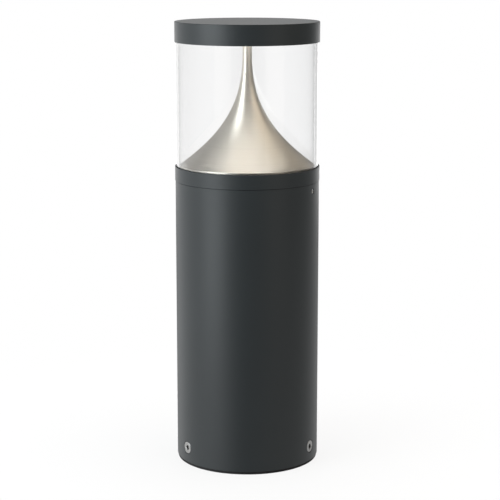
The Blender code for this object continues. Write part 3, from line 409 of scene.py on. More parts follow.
class Look:
    """A material under construction: a Principled shader and the nodes that feed it."""

    def __init__(self, name, colour, roughness, metallic=0.0, slot=None, **sockets):
        self.material = bpy.data.materials.new(name)
        self.material.use_nodes = True
        self.tree = self.material.node_tree
        self.shader = self.tree.nodes["Principled BSDF"]
        self.shader.inputs["Base Color"].default_value = (*colour, 1.0)
        self.shader.inputs["Roughness"].default_value = roughness
        self.shader.inputs["Metallic"].default_value = metallic
        for socket, value in sockets.items():
            self.shader.inputs[socket.replace("_", " ")].default_value = value
        self.colour = colour
        self.roughness = roughness
        self.height = None
        place = self.tree.nodes.new("ShaderNodeTexCoord")
        self.place = place.outputs["Object"]

    def node(self, kind, links=(), **values):
        made = self.tree.nodes.new(kind)
        for name, value in values.items():
            setattr(made, name, value)
        for socket, source in links:
            self.tree.links.new(source, made.inputs[socket])
        return made

    def stretched(self, x, y, z):
        """The place in the object, scaled by a different amount along each axis."""
        made = self.node("ShaderNodeVectorMath", [(0, self.place)], operation="MULTIPLY")
        made.inputs[1].default_value = (x, y, z)
        return made.outputs[0]

    def rings(self, radial, upright):
        """A place that depends only on the radius from the axis and the height: lines that run round it."""
        flat = self.node("ShaderNodeVectorMath", [(0, self.place)], operation="MULTIPLY")
        flat.inputs[1].default_value = (1, 1, 0)
        radius = self.node("ShaderNodeVectorMath", [(0, flat.outputs[0])], operation="LENGTH")
        apart = self.node("ShaderNodeSeparateXYZ", [(0, self.place)])
        across = self.node("ShaderNodeMath", [(0, radius.outputs["Value"])], operation="MULTIPLY")
        across.inputs[1].default_value = radial
        along = self.node("ShaderNodeMath", [(0, apart.outputs["Z"])], operation="MULTIPLY")
        along.inputs[1].default_value = upright
        joined = self.node("ShaderNodeCombineXYZ", [("X", across.outputs[0]), ("Y", along.outputs[0])])
        return joined.outputs[0]

    def noise(self, scale, detail=3.0, source=None, roughness=0.55):
        made = self.node("ShaderNodeTexNoise", [("Vector", source or self.place)])
        made.inputs["Scale"].default_value = scale
        made.inputs["Detail"].default_value = detail
        made.inputs["Roughness"].default_value = roughness
        return made.outputs["Fac"]

    def spread(self, source, low, high, start=0.3, end=0.7):
        """Maps the part of a pattern between start and end onto low to high."""
        made = self.node("ShaderNodeMapRange", [("Value", source)])
        made.inputs["From Min"].default_value = start
        made.inputs["From Max"].default_value = end
        made.inputs["To Min"].default_value = low
        made.inputs["To Max"].default_value = high
        return made.outputs[0]

    def vary_roughness(self, source, amount, start=0.3, end=0.7):
        low = max(SMOOTHEST, self.roughness - amount)
        self.tree.links.new(
            self.spread(source, low, self.roughness + amount, start, end), self.shader.inputs["Roughness"]
        )

    def vary_colour(self, source, darker, lighter, start=0.3, end=0.7):
        """Moves the base colour between a darker and a lighter copy of itself."""
        made = self.node("ShaderNodeMix", data_type="RGBA")
        self.tree.links.new(self.spread(source, 0.0, 1.0, start, end), made.inputs[0])
        made.inputs[6].default_value = (*(channel * darker for channel in self.colour), 1.0)
        made.inputs[7].default_value = (*(channel * lighter for channel in self.colour), 1.0)
        self.tree.links.new(made.outputs[2], self.shader.inputs["Base Color"])

    def bump(self, source, depth, strength=1.0):
        made = self.node("ShaderNodeBump", [("Height", source)])
        made.inputs["Strength"].default_value = strength
        made.inputs["Distance"].default_value = depth
        if self.height is not None:
            self.tree.links.new(self.height, made.inputs["Normal"])
        self.height = made.outputs["Normal"]
        self.tree.links.new(self.height, self.shader.inputs["Normal"])


def powder_coat(name, colour, roughness):
    """Satin powder coat: a fine orange peel with a finer grain, and a faint change of tone."""
    look = Look(name, colour, roughness)
    look.vary_colour(look.noise(9.0, 2.0), 0.95, 1.05)
    look.vary_roughness(look.noise(2600.0, 2.0), 0.035)
    look.bump(look.noise(760.0, 2.0), 0.00003, 0.35)
    look.bump(look.noise(3800.0, 1.0), 0.00001, 0.30)
    return look.material


def spun_metal(name, colour, roughness):
    """Spun and anodised sheet: fine lines run round the axis."""
    look = Look(name, colour, roughness, 1.0, Anisotropic=0.30, Anisotropic_Rotation=0.25)
    tangent = look.node("ShaderNodeTangent", direction_type="RADIAL", axis="Z")
    look.tree.links.new(tangent.outputs[0], look.shader.inputs["Tangent"])
    lines = look.noise(1.0, 4.0, look.rings(5200.0, 5200.0), 0.7)
    look.vary_roughness(lines, 0.045)
    look.vary_colour(look.noise(1.0, 3.0, look.rings(900.0, 900.0)), 0.96, 1.04)
    look.bump(lines, 0.000004, 0.5)
    return look.material


def clear_plastic(name, colour):
    """Clear extruded acrylic with a barely visible waviness along its length."""
    look = Look(name, colour, 0.015, IOR=1.49, Transmission_Weight=1.0)
    look.vary_roughness(look.noise(60.0, 2.0), 0.008)
    look.bump(look.noise(1.0, 1.0, look.stretched(14.0, 14.0, 1.5)), 0.00012, 0.10)
    return look.material


def lit_diffuser(name, colour, glow, strength):
    """Opal acrylic with a light behind it."""
    look = Look(name, colour, 0.42, Subsurface_Weight=0.15, Subsurface_Scale=0.004)
    look.shader.inputs["Emission Color"].default_value = (*glow, 1.0)
    look.shader.inputs["Emission Strength"].default_value = strength
    look.vary_colour(look.noise(220.0, 2.0), 0.97, 1.0)
    look.bump(look.noise(1400.0, 2.0), 0.00002, 0.3)
    return look.material


def moulded_plastic(name, colour, roughness, grain=2200.0):
    """Moulded plastic with a spark-eroded texture."""
    look = Look(name, colour, roughness)
    look.vary_colour(look.noise(24.0, 2.0), 0.93, 1.06)
    look.vary_roughness(look.noise(grain, 2.0), 0.06)
    look.bump(look.noise(grain, 3.0), 0.00004, 0.4)
    return look.material


def rubber(name, colour):
    """Dusty black rubber."""
    look = Look(name, colour, 0.78)
    look.vary_colour(look.noise(130.0, 3.0), 0.8, 1.5)
    look.vary_roughness(look.noise(700.0, 2.0), 0.08)
    look.bump(look.noise(1500.0, 3.0), 0.00005, 0.5)
    return look.material


def cast_metal(name, colour):
    """Sand-blasted casting: a fine pitted skin with a cloudy tone."""
    look = Look(name, colour, 0.48, 1.0)
    look.vary_colour(look.noise(40.0, 4.0), 0.82, 1.08)
    look.vary_roughness(look.noise(320.0, 3.0), 0.10)
    look.bump(look.noise(1100.0, 4.0), 0.00008, 0.5)
    return look.material


def zinc_sheet(name, colour):
    """Zinc-plated sheet: long rolling lines under a cloudy passivation."""
    look = Look(name, colour, 0.36, 1.0)
    rolled = look.noise(1.0, 4.0, look.stretched(2600.0, 2600.0, 22.0), 0.7)
    look.vary_colour(look.noise(30.0, 4.0), 0.84, 1.06)
    look.vary_roughness(rolled, 0.09)
    look.bump(rolled, 0.000012, 0.5)
    return look.material


def stainless(name, colour):
    """Cold-headed stainless steel with a tumbled finish."""
    look = Look(name, colour, 0.30, 1.0)
    look.vary_colour(look.noise(420.0, 3.0), 0.88, 1.05)
    look.vary_roughness(look.noise(1600.0, 3.0), 0.08)
    look.bump(look.noise(2400.0, 3.0), 0.00001, 0.5)
    return look.material


def circuit_board(name, colour):
    """Solder mask, slightly uneven over the copper under it."""
    look = Look(name, colour, 0.34)
    look.vary_colour(look.noise(300.0, 2.0), 0.94, 1.0)
    look.bump(look.noise(500.0, 1.0), 0.00003, 0.4)
    return look.material


def sheath(name, colour, stripe=None):
    """The soft cover of a lead. An earth lead has a stripe of a second colour along it."""
    look = Look(name, colour, 0.50)
    if stripe is None:
        look.vary_colour(look.noise(90.0, 2.0), 0.90, 1.10)
    else:
        bands = look.node("ShaderNodeTexWave", [("Vector", look.stretched(1.0, 1.0, 1.0))])
        bands.inputs["Scale"].default_value = 90.0
        mixed = look.node("ShaderNodeMix", data_type="RGBA")
        look.tree.links.new(look.spread(bands.outputs["Fac"], 0.0, 1.0, 0.62, 0.70), mixed.inputs[0])
        mixed.inputs[6].default_value = (*colour, 1.0)
        mixed.inputs[7].default_value = (*stripe, 1.0)
        look.tree.links.new(mixed.outputs[2], look.shader.inputs["Base Color"])
    look.vary_roughness(look.noise(800.0, 2.0), 0.07)
    look.bump(look.noise(1200.0, 2.0), 0.00003, 0.4)
    return look.material


def make_looks():
    return {
        "anthracite_powder_coat": powder_coat("anthracite_powder_coat", (0.0235, 0.0290, 0.0315), 0.40),
        "satin_champagne_metal": spun_metal("satin_champagne_metal", (0.78, 0.747, 0.68), 0.42),
        "clear_acrylic": clear_plastic("clear_acrylic", (0.996, 0.997, 0.998)),
        "opal_acrylic": lit_diffuser("opal_acrylic", (0.86, 0.85, 0.81), (1.0, 0.97, 0.92), 1.45),
        "seal_rubber": rubber("seal_rubber", (0.011, 0.011, 0.012)),
        "cast_metal": cast_metal("cast_metal", (0.55, 0.56, 0.57)),
        "zinc_sheet": zinc_sheet("zinc_sheet", (0.62, 0.63, 0.66)),
        "stainless_steel": stainless("stainless_steel", (0.39, 0.39, 0.385)),
        # A lighter copy of the stainless steel for the grub screws: a painted highlight on their faces.
        "painted_highlight_steel": stainless("painted_highlight_steel", (0.80, 0.80, 0.79)),
        "grey_plastic": moulded_plastic("grey_plastic", (0.36, 0.37, 0.38), 0.50),
        "black_plastic": moulded_plastic("black_plastic", (0.018, 0.018, 0.020), 0.44),
        "white_plastic": moulded_plastic("white_plastic", (0.74, 0.74, 0.72), 0.40, 1600.0),
        "white_solder_mask": circuit_board("white_solder_mask", (0.80, 0.80, 0.78)),
        "lead_sheath": sheath("lead_sheath", (0.10, 0.10, 0.105)),
        "earth_sheath": sheath("earth_sheath", (0.06, 0.30, 0.04), (0.78, 0.62, 0.02)),
        "tinned_copper": stainless("tinned_copper", (0.72, 0.68, 0.64)),
    }


LOOKS = make_looks()


# Pieces of the post


def radius_and_heights(node):
    low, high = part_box(node)
    return high.x, low.z, high.z


def countersink_outline():
    """The room of a base screw: its shank's hole and the cone for its head."""
    shank = BASE_SCREW_SHANK + COUNTERSINK_CLEARANCE
    head = BASE_SCREW_HEAD + COUNTERSINK_CLEARANCE
    return [
        (0, -COUNTERSINK_DEPTH),
        (shank, -COUNTERSINK_DEPTH),
        (shank, -BASE_SCREW_SINK),
        (head, 0),
        (head, COUNTERSINK_RISE),
        (0, COUNTERSINK_RISE),
    ]


def make_post_tube():
    radius, bottom, top = radius_and_heights("body_tube")
    bore = radius - POST_WALL
    outline = filleted(
        [
            (bore, bottom),
            (radius, bottom, SOFT),
            (radius, top, POST_TOP_EDGE),
            (bore, top, EASED),
        ]
    )
    tube = turned("post_tube", outline)
    cutters = []
    for number, angle in enumerate(BASE_SCREW_ANGLES, 1):
        cutter = turned(f"countersink_{number}", countersink_outline(), SCREW_SIDES + 2)
        aim(cutter, around(angle, BASE_SCREW_FACE, BASE_SCREW_HEIGHT), around(angle, 1, 0))
        cutters.append(cutter)
    for number, angle in enumerate(GRUB_ANGLES, 1):
        start = around(angle, bore - 2 * OVERSHOOT, GRUB_HEIGHT)
        end = around(angle, radius + OVERSHOOT, GRUB_HEIGHT)
        hole = GRUB_RADIUS + GRUB_CLEARANCE
        cutters.append(bar(f"grub_hole_{number}", hole, start, end, GRUB_HOLE_SIDES))
    combine(tube, cutters)
    shade(tube, (radius, bore))
    finish_piece(tube, "post", LOOKS["anthracite_powder_coat"], "body_tube")


def socket_head(depth, socket, rim, chamfer):
    """The start of a screw's outline: a hexagon socket with a drill point, then the flat face."""
    outline = [
        (0, -depth - socket * DRILL_POINT),
        (socket, -depth),
        (socket, -chamfer * CHAMFER_SLOPE),
        (socket + chamfer, 0),
        (rim, 0),
    ]
    hexagonal = (1, 2)
    return outline, hexagonal


def make_base_screws():
    """Countersunk socket screws, flush with the post."""
    rim = BASE_SCREW_HEAD - CRISP
    head, hexagonal = socket_head(BASE_SCREW_SOCKET_DEPTH, BASE_SCREW_SOCKET, rim, CRISP)
    outline = head + [
        (BASE_SCREW_HEAD, -CRISP),
        (BASE_SCREW_SHANK, -CRISP - BASE_SCREW_SINK),
        (BASE_SCREW_SHANK, BASE_SCREW_TIP - BASE_SCREW_LENGTH),
        (BASE_SCREW_SHANK - BASE_SCREW_TIP, -BASE_SCREW_LENGTH),
        (0, -BASE_SCREW_LENGTH),
    ]
    for number, angle in enumerate(BASE_SCREW_ANGLES, 1):
        screw = turned(f"base_socket_screw_{number}", outline, SCREW_SIDES, hexagonal)
        aim(screw, around(angle, BASE_SCREW_FACE, BASE_SCREW_HEIGHT), around(angle, 1, 0))
        shade(screw)
        finish_piece(screw, "post", LOOKS["stainless_steel"], f"base_screw_{number}")


def make_grub_screws():
    """Headless socket screws, sunk a little in the post. Their steel is a lighter copy of the stainless
    steel: a painted highlight on their recessed faces.
    """
    head, hexagonal = socket_head(GRUB_SOCKET_DEPTH, GRUB_SOCKET, GRUB_RADIUS - CRISP, HAIR)
    outline = head + [
        (GRUB_RADIUS, -CRISP),
        (GRUB_RADIUS, GRUB_TIP - GRUB_LENGTH),
        (GRUB_RADIUS - GRUB_TIP, -GRUB_LENGTH),
        (0, -GRUB_LENGTH),
    ]
    for number, angle in enumerate(GRUB_ANGLES, 1):
        screw = turned(f"grub_socket_screw_{number}", outline, SCREW_SIDES, hexagonal)
        aim(screw, around(angle, GRUB_FACE, GRUB_HEIGHT), around(angle, 1, 0))
        shade(screw)
        finish_piece(screw, "post", LOOKS["painted_highlight_steel"], f"grub_screw_{number}")


def make_base_gasket():
    radius, bottom, top = radius_and_heights("base_gasket")
    outline = filleted(
        [
            (CABLE_ENTRY_RADIUS, bottom),
            (radius, bottom, EASED),
            (radius, top, EASED),
            (CABLE_ENTRY_RADIUS, top),
        ]
    )
    gasket = turned("base_pad", outline)
    holes = []
    for number, angle in enumerate(ANCHOR_ANGLES):
        start = around(angle, ANCHOR_CIRCLE, bottom - OVERSHOOT)
        end = around(angle, ANCHOR_CIRCLE, top + OVERSHOOT)
        holes.append(bar(f"anchor_hole_{number}", ANCHOR_HOLE, start, end))
    combine(gasket, holes)
    shade(gasket, (radius,))
    finish_piece(gasket, "post", LOOKS["seal_rubber"], "base_gasket")


# Pieces of the head


def make_collar():
    """The ring under the lens: spigot with a seal groove, seat of the bridge plate, groove of the lens."""
    radius, bottom, top = radius_and_heights("head_collar")
    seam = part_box("body_tube")[1].z + GAP
    groove_bottom, groove_top = SEAL_GROOVE
    outline = filleted(
        [
            (COLLAR_BORE, bottom, EASED),
            (SPIGOT_RADIUS, bottom, SPIGOT_LEAD_IN),
            (SPIGOT_RADIUS, groove_bottom),
            (SEAL_GROOVE_FLOOR, groove_bottom, CRISP),
            (SEAL_GROOVE_FLOOR, groove_top, CRISP),
            (SPIGOT_RADIUS, groove_top),
            (SPIGOT_RADIUS, seam, CRISP),
            (radius, seam, HAIR),
            (radius, top, SOFT),
            (GROOVE_OUTER, top, CRISP),
            (GROOVE_OUTER, GROOVE_FLOOR),
            (GROOVE_INNER, GROOVE_FLOOR),
            (GROOVE_INNER, COLLAR_INNER_TOP, CRISP),
            (COLLAR_BORE, COLLAR_INNER_TOP),
            (COLLAR_BORE, SEAT_TOP),
            (SEAT_BORE, SEAT_TOP, EASED),
            (SEAT_BORE, SEAT_BOTTOM, EASED),
            (COLLAR_BORE, SEAT_BOTTOM),
        ]
    )
    collar = turned("collar", outline)
    shade(collar, (radius, SPIGOT_RADIUS, COLLAR_BORE))
    finish_piece(collar, "head", LOOKS["anthracite_powder_coat"], "head_collar")


def make_cap():
    """A flat disc, hollow below: a boss for the tie rod, room for the lamp, and the groove of the lens."""
    radius, bottom, top = radius_and_heights("top_cap")
    outline = filleted(
        [
            (radius, bottom, CAP_LOWER_EDGE),
            (radius, top, CAP_UPPER_EDGE),
            (0, top),
            (0, ROD_HOLE_TOP),
            (ROD_HOLE, ROD_HOLE_TOP),
            (ROD_HOLE, BOSS_BOTTOM),
            (BOSS_RADIUS, BOSS_BOTTOM, EASED),
            (BOSS_RADIUS, CAP_CEILING),
            (CAP_ROOM, CAP_CEILING),
            (CAP_ROOM, CAP_GROOVE_TOP),
            (CAP_SKIRT, CAP_GROOVE_TOP),
            (CAP_SKIRT, bottom, EASED),
            (GROOVE_INNER, bottom, CRISP),
            (GROOVE_INNER, CAP_GROOVE_TOP),
            (GROOVE_OUTER, CAP_GROOVE_TOP),
            (GROOVE_OUTER, bottom, HAIR),
        ]
    )
    cap = turned("cap", outline)
    slot_low = (-BOSS_SLOT_HALF, BOSS_SLOT_START, BOSS_BOTTOM - OVERSHOOT)
    slot_high = (BOSS_SLOT_HALF, BOSS_RADIUS + OVERSHOOT, BOSS_SLOT_TOP)
    combine(cap, [block("boss_slot", slot_low, slot_high)])
    shade(cap, (radius,))
    flatten(cap, top)
    finish_piece(cap, "head", LOOKS["anthracite_powder_coat"], "top_cap")


def flatten(thing, height):
    """Gives the faces that lie flat at this height an exactly upright normal."""
    mesh = thing.data
    normals = [Vector(corner.vector) for corner in mesh.corner_normals]
    for face in mesh.polygons:
        if all(abs(mesh.vertices[number].co.z - height) < FLAT_TOLERANCE for number in face.vertices):
            for corner in face.loop_indices:
                normals[corner] = Vector((0, 0, math.copysign(1, face.normal.z)))
    mesh.normals_split_custom_set(normals)


def make_lens():
    radius, bottom, top = radius_and_heights("lens_tube")
    bore = radius - LENS_WALL
    corners = ((bore, bottom), (radius, bottom), (radius, top), (bore, top))
    lens = turned("clear_lens", filleted([(*corner, CRISP) for corner in corners]), LENS_SIDES)
    shade(lens, (radius, bore))
    finish_piece(lens, "head", LOOKS["clear_acrylic"], "lens_tube")


def trumpet_radius(height):
    drop = max(0.0, (FLARE_TOP - height) / FLARE_HEIGHT)
    return NECK_RADIUS + FLARE_WIDTH * drop**FLARE_POWER


def make_reflector():
    """A trumpet spun from sheet: slim neck, wide flare and a short upright rim."""
    rim, bottom, top = radius_and_heights("reflector_cone")
    outer = [(rim, bottom), (rim, RIM_TOP - RIM_BEND), (rim - HAIR, RIM_TOP - RIM_BEND / 2)]
    for number in range(REFLECTOR_ROWS):
        rise = (number / (REFLECTOR_ROWS - 1)) ** ROW_CROWDING
        height = RIM_TOP + HAIR + (FLARE_TOP - RIM_TOP) * rise
        outer.append((min(trumpet_radius(height), rim - RIM_INSET), height))
    outer.append((NECK_RADIUS, top))
    inner = []
    for number in range(len(outer) - 2, 2, -2):
        slope = (Vector(outer[number + 1]) - Vector(outer[number - 1])).normalized()
        inner.append(tuple(Vector(outer[number]) - REFLECTOR_WALL * Vector((slope.y, -slope.x))))
    neck_bore = (NECK_RADIUS - REFLECTOR_WALL, top)
    rim_bore = (rim - REFLECTOR_WALL, bottom)
    reflector = turned("reflector", [*outer, neck_bore, *inner, rim_bore])
    shade(reflector)
    finish_piece(reflector, "head", LOOKS["satin_champagne_metal"], "reflector_cone")


def make_ring(name, node, inner, rounding, look):
    """A fine copy of a plain ring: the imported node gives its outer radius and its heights."""
    radius, bottom, top = radius_and_heights(node)
    corners = ((inner, bottom), (radius, bottom), (radius, top), (inner, top))
    ring = turned(name, filleted([(*corner, rounding) for corner in corners]))
    shade(ring, (radius, inner))
    flatten(ring, bottom)
    finish_piece(ring, "head", LOOKS[look], node)


def make_spigot_seal():
    """A round-section ring that fills the room between the spigot's groove and the post."""
    low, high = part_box("spigot_seal")
    middle = (low.z + high.z) / 2
    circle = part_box("body_tube")[1].x - POST_WALL - GAP - SEAL_SECTION
    outline = []
    for side in range(SEAL_SIDES):
        turn = math.tau * side / SEAL_SIDES
        outline.append((circle + SEAL_SECTION * math.cos(turn), middle + SEAL_SECTION * math.sin(turn)))
    seal = turned("seal_ring", outline)
    shade(seal)
    finish_piece(seal, "head", LOOKS["seal_rubber"], "spigot_seal")


def plug_middle():
    low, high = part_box("dock_plug")
    return (low.y + high.y) / 2


def make_gear_tray():
    """Bent sheet with round bends: a tab at the top and a shelf for the plug at the bottom."""
    low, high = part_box("gear_tray")
    back = TRAY_FRONT + TRAY_SHEET
    outer_bend = TRAY_INNER_BEND + TRAY_SHEET
    outline = filleted(
        [
            (low.y, low.z, SOFT),
            (back, low.z, outer_bend),
            (back, high.z - TRAY_SHEET, TRAY_INNER_BEND),
            (high.y, high.z - TRAY_SHEET, SOFT),
            (high.y, high.z, SOFT),
            (TRAY_FRONT, high.z, outer_bend),
            (TRAY_FRONT, low.z + TRAY_SHEET, TRAY_INNER_BEND),
            (low.y, low.z + TRAY_SHEET, SOFT),
        ]
    )
    tray = extruded("bent_gear_tray", outline, high.x - low.x)
    across = PLUG_NECK_HALF.x + TRAY_CUTOUT_ROOM
    deep = PLUG_NECK_HALF.y + TRAY_CUTOUT_ROOM
    cutout_low = (-across, plug_middle() - deep, low.z - OVERSHOOT)
    cutout_high = (across, plug_middle() + deep, low.z + TRAY_SHEET + OVERSHOOT)
    tools = [block("plug_cutout", cutout_low, cutout_high)]
    for number, x in enumerate((-TRAY_TAB_SPREAD, TRAY_TAB_SPREAD), 1):
        start = (x, TRAY_TAB_HOLE_Y, high.z - 2 * TRAY_SHEET)
        end = (x, TRAY_TAB_HOLE_Y, high.z + OVERSHOOT)
        tools.append(bar(f"tab_hole_{number}", TRAY_TAB_HOLE, start, end))
    for number, height in enumerate(driver_screw_heights(), 1):
        start = (0, TRAY_FRONT - OVERSHOOT, height)
        end = (0, back + OVERSHOOT, height)
        tools.append(bar(f"driver_hole_{number}", DRIVER_HOLE, start, end))
    combine(tray, tools)
    soften(tray, CRISP, 2)
    finish_piece(tray, "head", LOOKS["zinc_sheet"], "gear_tray")


def driver_screw_heights():
    return [sum(corner.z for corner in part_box(f"driver_screw_{number}")) / 2 for number in (1, 2)]


def make_driver():
    """A potted driver in a moulded case: a parting line, a finned front and two screw ears."""
    low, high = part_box("led_driver")
    bottom = low.z + DRIVER_EAR
    top = high.z - DRIVER_EAR
    case = block("driver_case", (low.x, low.y, bottom), (high.x, high.y, top))
    ear_low = (-DRIVER_EAR_HALF, high.y - DRIVER_EAR_THICKNESS, low.z)
    ear_high = (DRIVER_EAR_HALF, high.y, high.z)
    combine(case, [block("driver_ears", ear_low, ear_high)], "UNION")
    tools = [parting_line(low, high, bottom, top)]
    for number in range(FIN_COUNT):
        x = FIN_PITCH * (number - (FIN_COUNT - 1) / 2)
        gap_low = (x - FIN_GAP / 2, low.y - OVERSHOOT, bottom + FIN_MARGIN)
        gap_high = (x + FIN_GAP / 2, low.y + FIN_DEPTH, top - FIN_MARGIN)
        tools.append(block(f"fin_gap_{number}", gap_low, gap_high))
    for number, height in enumerate(driver_screw_heights(), 1):
        start = (0, high.y - 2 * DRIVER_EAR_THICKNESS, height)
        end = (0, high.y + OVERSHOOT, height)
        tools.append(bar(f"ear_hole_{number}", DRIVER_HOLE, start, end))
    combine(case, tools)
    soften(case, DRIVER_EDGE, 3)
    finish_piece(case, "head", LOOKS["white_plastic"], "led_driver")


def parting_line(low, high, bottom, top):
    """The cutter for the line round the case where its two halves meet."""
    front = PARTING_LINE_Y
    depth = PARTING_LINE_DEPTH
    outer_low = (low.x - OVERSHOOT, front, bottom - OVERSHOOT)
    outer_high = (high.x + OVERSHOOT, front + PARTING_LINE_WIDTH, top + OVERSHOOT)
    outer = block("seam_outer", outer_low, outer_high)
    core_low = (low.x + depth, front - OVERSHOOT, bottom + depth)
    core_high = (high.x - depth, front + 2 * OVERSHOOT, top - depth)
    core = block("seam_core", core_low, core_high)
    combine(outer, [core])
    return outer


def make_driver_screws():
    """Pan-head screws with a hexagon socket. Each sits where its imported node's head is."""
    tip = -PAN_HEAD_HEIGHT - PAN_LENGTH
    outline = filleted(
        [
            (0, -PAN_SOCKET_DEPTH),
            (PAN_SOCKET, -PAN_SOCKET_DEPTH),
            (PAN_SOCKET, 0),
            (PAN_HEAD, 0, PAN_ROUNDING),
            (PAN_HEAD, -PAN_HEAD_HEIGHT),
            (PAN_SHANK, -PAN_HEAD_HEIGHT),
            (PAN_SHANK, tip + PAN_TIP),
            (PAN_SHANK - PAN_TIP, tip),
            (0, tip),
        ]
    )
    hexagonal = (1, 2)
    for number in (1, 2):
        low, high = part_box(f"driver_screw_{number}")
        screw = turned(f"driver_pan_screw_{number}", outline, PAN_SCREW_SIDES, hexagonal)
        aim(screw, ((low.x + high.x) / 2, low.y, (low.z + high.z) / 2), (0, -1, 0))
        shade(screw)
        finish_piece(screw, "head", LOOKS["stainless_steel"], f"driver_screw_{number}")


def upright_block(name, half, bottom, top):
    """A block round the middle of the docking plug, from its half sizes across and deep."""
    middle = plug_middle()
    return block(name, (-half[0], middle - half[1], bottom), (half[0], middle + half[1], top))


def make_plug():
    """The docking plug: a moulded shroud with grip grooves and a neck through the tray's shelf."""
    low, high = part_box("dock_plug")
    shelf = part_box("gear_tray")[0].z
    half = Vector((high.x, (high.y - low.y) / 2))
    upper_bottom = shelf + TRAY_SHEET + GAP
    body = upright_block("plug_body", half, low.z, shelf - GAP)
    neck = upright_block("plug_neck", PLUG_NECK_HALF, shelf - OVERSHOOT, upper_bottom + OVERSHOOT)
    combine(body, [neck], "UNION")
    combine(body, [upright_block("plug_upper", PLUG_UPPER_HALF, upper_bottom, high.z)], "UNION")
    inside = half - Vector((SHROUD_WALL, SHROUD_WALL))
    tools = [upright_block("shroud_room", inside, low.z - OVERSHOOT, SHROUD_TOP)]
    for side in (-1, 1):
        left, right = sorted((side * (half.x - GRIP_DEPTH), side * (half.x + OVERSHOOT)))
        for number in range(GRIP_COUNT):
            height = low.z + GRIP_START + number * GRIP_PITCH
            groove_low = (left, low.y - OVERSHOOT, height)
            groove_high = (right, high.y + OVERSHOOT, height + GRIP_WIDTH)
            tools.append(block(f"finger_gap_{side}_{number}", groove_low, groove_high))
    combine(body, tools)
    soften(body, CRISP, 2)
    finish_piece(body, "head", LOOKS["black_plastic"], "dock_plug")


def make_plug_pins():
    """Three tinned pins inside the shroud, pointed at the bottom."""
    outline = [
        (0, PIN_LENGTH),
        (PIN_RADIUS, PIN_LENGTH),
        (PIN_RADIUS, PIN_POINT),
        (PIN_RADIUS / 2, 0),
        (0, 0),
    ]
    for number in (1, 2, 3):
        pin = turned(f"plug_pin_{number}", outline, PIN_SIDES)
        pin.location = (PIN_PITCH * (number - 2), plug_middle(), PIN_BOTTOM)
        shade(pin)
        finish_piece(pin, "head", LOOKS["tinned_copper"])


def smooth_route(route):
    """Straight at both ends, and a smooth curve through the points between."""
    knots = [Vector(point) for point in route]
    path = [knots[0]]
    for before, start, end, after in zip(knots, knots[1:], knots[2:], knots[3:]):
        for step in range(ROUTE_STEPS):
            t = step / ROUTE_STEPS
            linear = (end - before) * t
            square = (2 * before - 5 * start + 4 * end - after) * t**2
            cube = (3 * start - before - 3 * end + after) * t**3
            path.append(0.5 * (2 * start + linear + square + cube))
    return path + knots[-2:]


def make_lead(name, node, route, radius):
    """A sheathed lead of the head along a route, in place of a packed one."""
    curve = bpy.data.curves.new(name, "CURVE")
    curve.dimensions = "3D"
    curve.bevel_depth = radius
    curve.bevel_resolution = LEAD_SHEATH_STEPS
    curve.use_fill_caps = True
    path = smooth_route(route)
    spline = curve.splines.new("POLY")
    spline.points.add(len(path) - 1)
    for point, place in zip(spline.points, path):
        point.co = (*place, 1)
    spline.use_smooth = True
    finish_piece(link(name, curve), "head", LOOKS["lead_sheath"], node)


def make_head_leads():
    plug_y = plug_middle()
    supply_route = [
        (0, plug_y, 0.1905),
        (0, plug_y, 0.1980),
        (0, 0.0070, 0.2120),
        (0, 0.0060, 0.2270),
        (0, 0.0060, 0.2345),
    ]
    make_lead("driver_supply_lead", "supply_lead", supply_route, SUPPLY_LEAD_RADIUS)
    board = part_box("led_board")[0].z
    lamp_route = [
        (0, 0.0060, 0.3456),
        (0, 0.0060, 0.3480),
        (0, 0.0010, 0.3590),
        (0, 0, 0.3700),
        (0, 0, 0.5600),
        (0, 0.0015, 0.5660),
        (0, 0.0080, 0.5685),
        (0, 0.0150, 0.5695),
        (0, 0.0170, 0.5715),
        (0, 0.0170, board + GAP),
    ]
    make_lead("lamp_lead", "led_lead", lamp_route, LAMP_LEAD_RADIUS)


def dress_packed_nodes():
    """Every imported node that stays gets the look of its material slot."""
    slots = {entry["node"]: entry["material_slot"] for entry in frame["record"]["subparts"]}
    for name, thing in frame["nodes"].items():
        thing.data.materials.clear()
        thing.data.materials.append(LOOKS[slots[name]])


# The set: floor, light and camera


def make_floor():
    """A pale floor that fades into the white surroundings."""
    points = [(0, 0, 0)]
    faces = []
    for ring in FLOOR_RINGS:
        start = len(points)
        points += [around(360 * side / FLOOR_SIDES, ring, 0) for side in range(FLOOR_SIDES)]
        for side in range(FLOOR_SIDES):
            near = start + side
            far = start + (side + 1) % FLOOR_SIDES
            if start == 1:
                faces.append((0, near, far))
            else:
                faces.append((near - FLOOR_SIDES, near, far, far - FLOOR_SIDES))
    floor = link("floor", mesh_of("floor", points, faces))
    floor.location.z = -FLOOR_DROP
    look = Look("pale_floor", (0.86, 0.86, 0.86), 0.65)
    radius = look.node("ShaderNodeVectorMath", [(0, look.place)], operation="LENGTH")
    fade = look.spread(radius.outputs["Value"], FADE_AT_START, 1.0, FADE_START, FADE_END)
    clear = look.node("ShaderNodeBsdfTransparent")
    layers = [(0, fade), (1, look.shader.outputs[0]), (2, clear.outputs[0])]
    mixed = look.node("ShaderNodeMixShader", layers)
    output = look.tree.nodes["Material Output"]
    look.tree.links.new(mixed.outputs[0], output.inputs["Surface"])
    floor.data.materials.append(look.material)


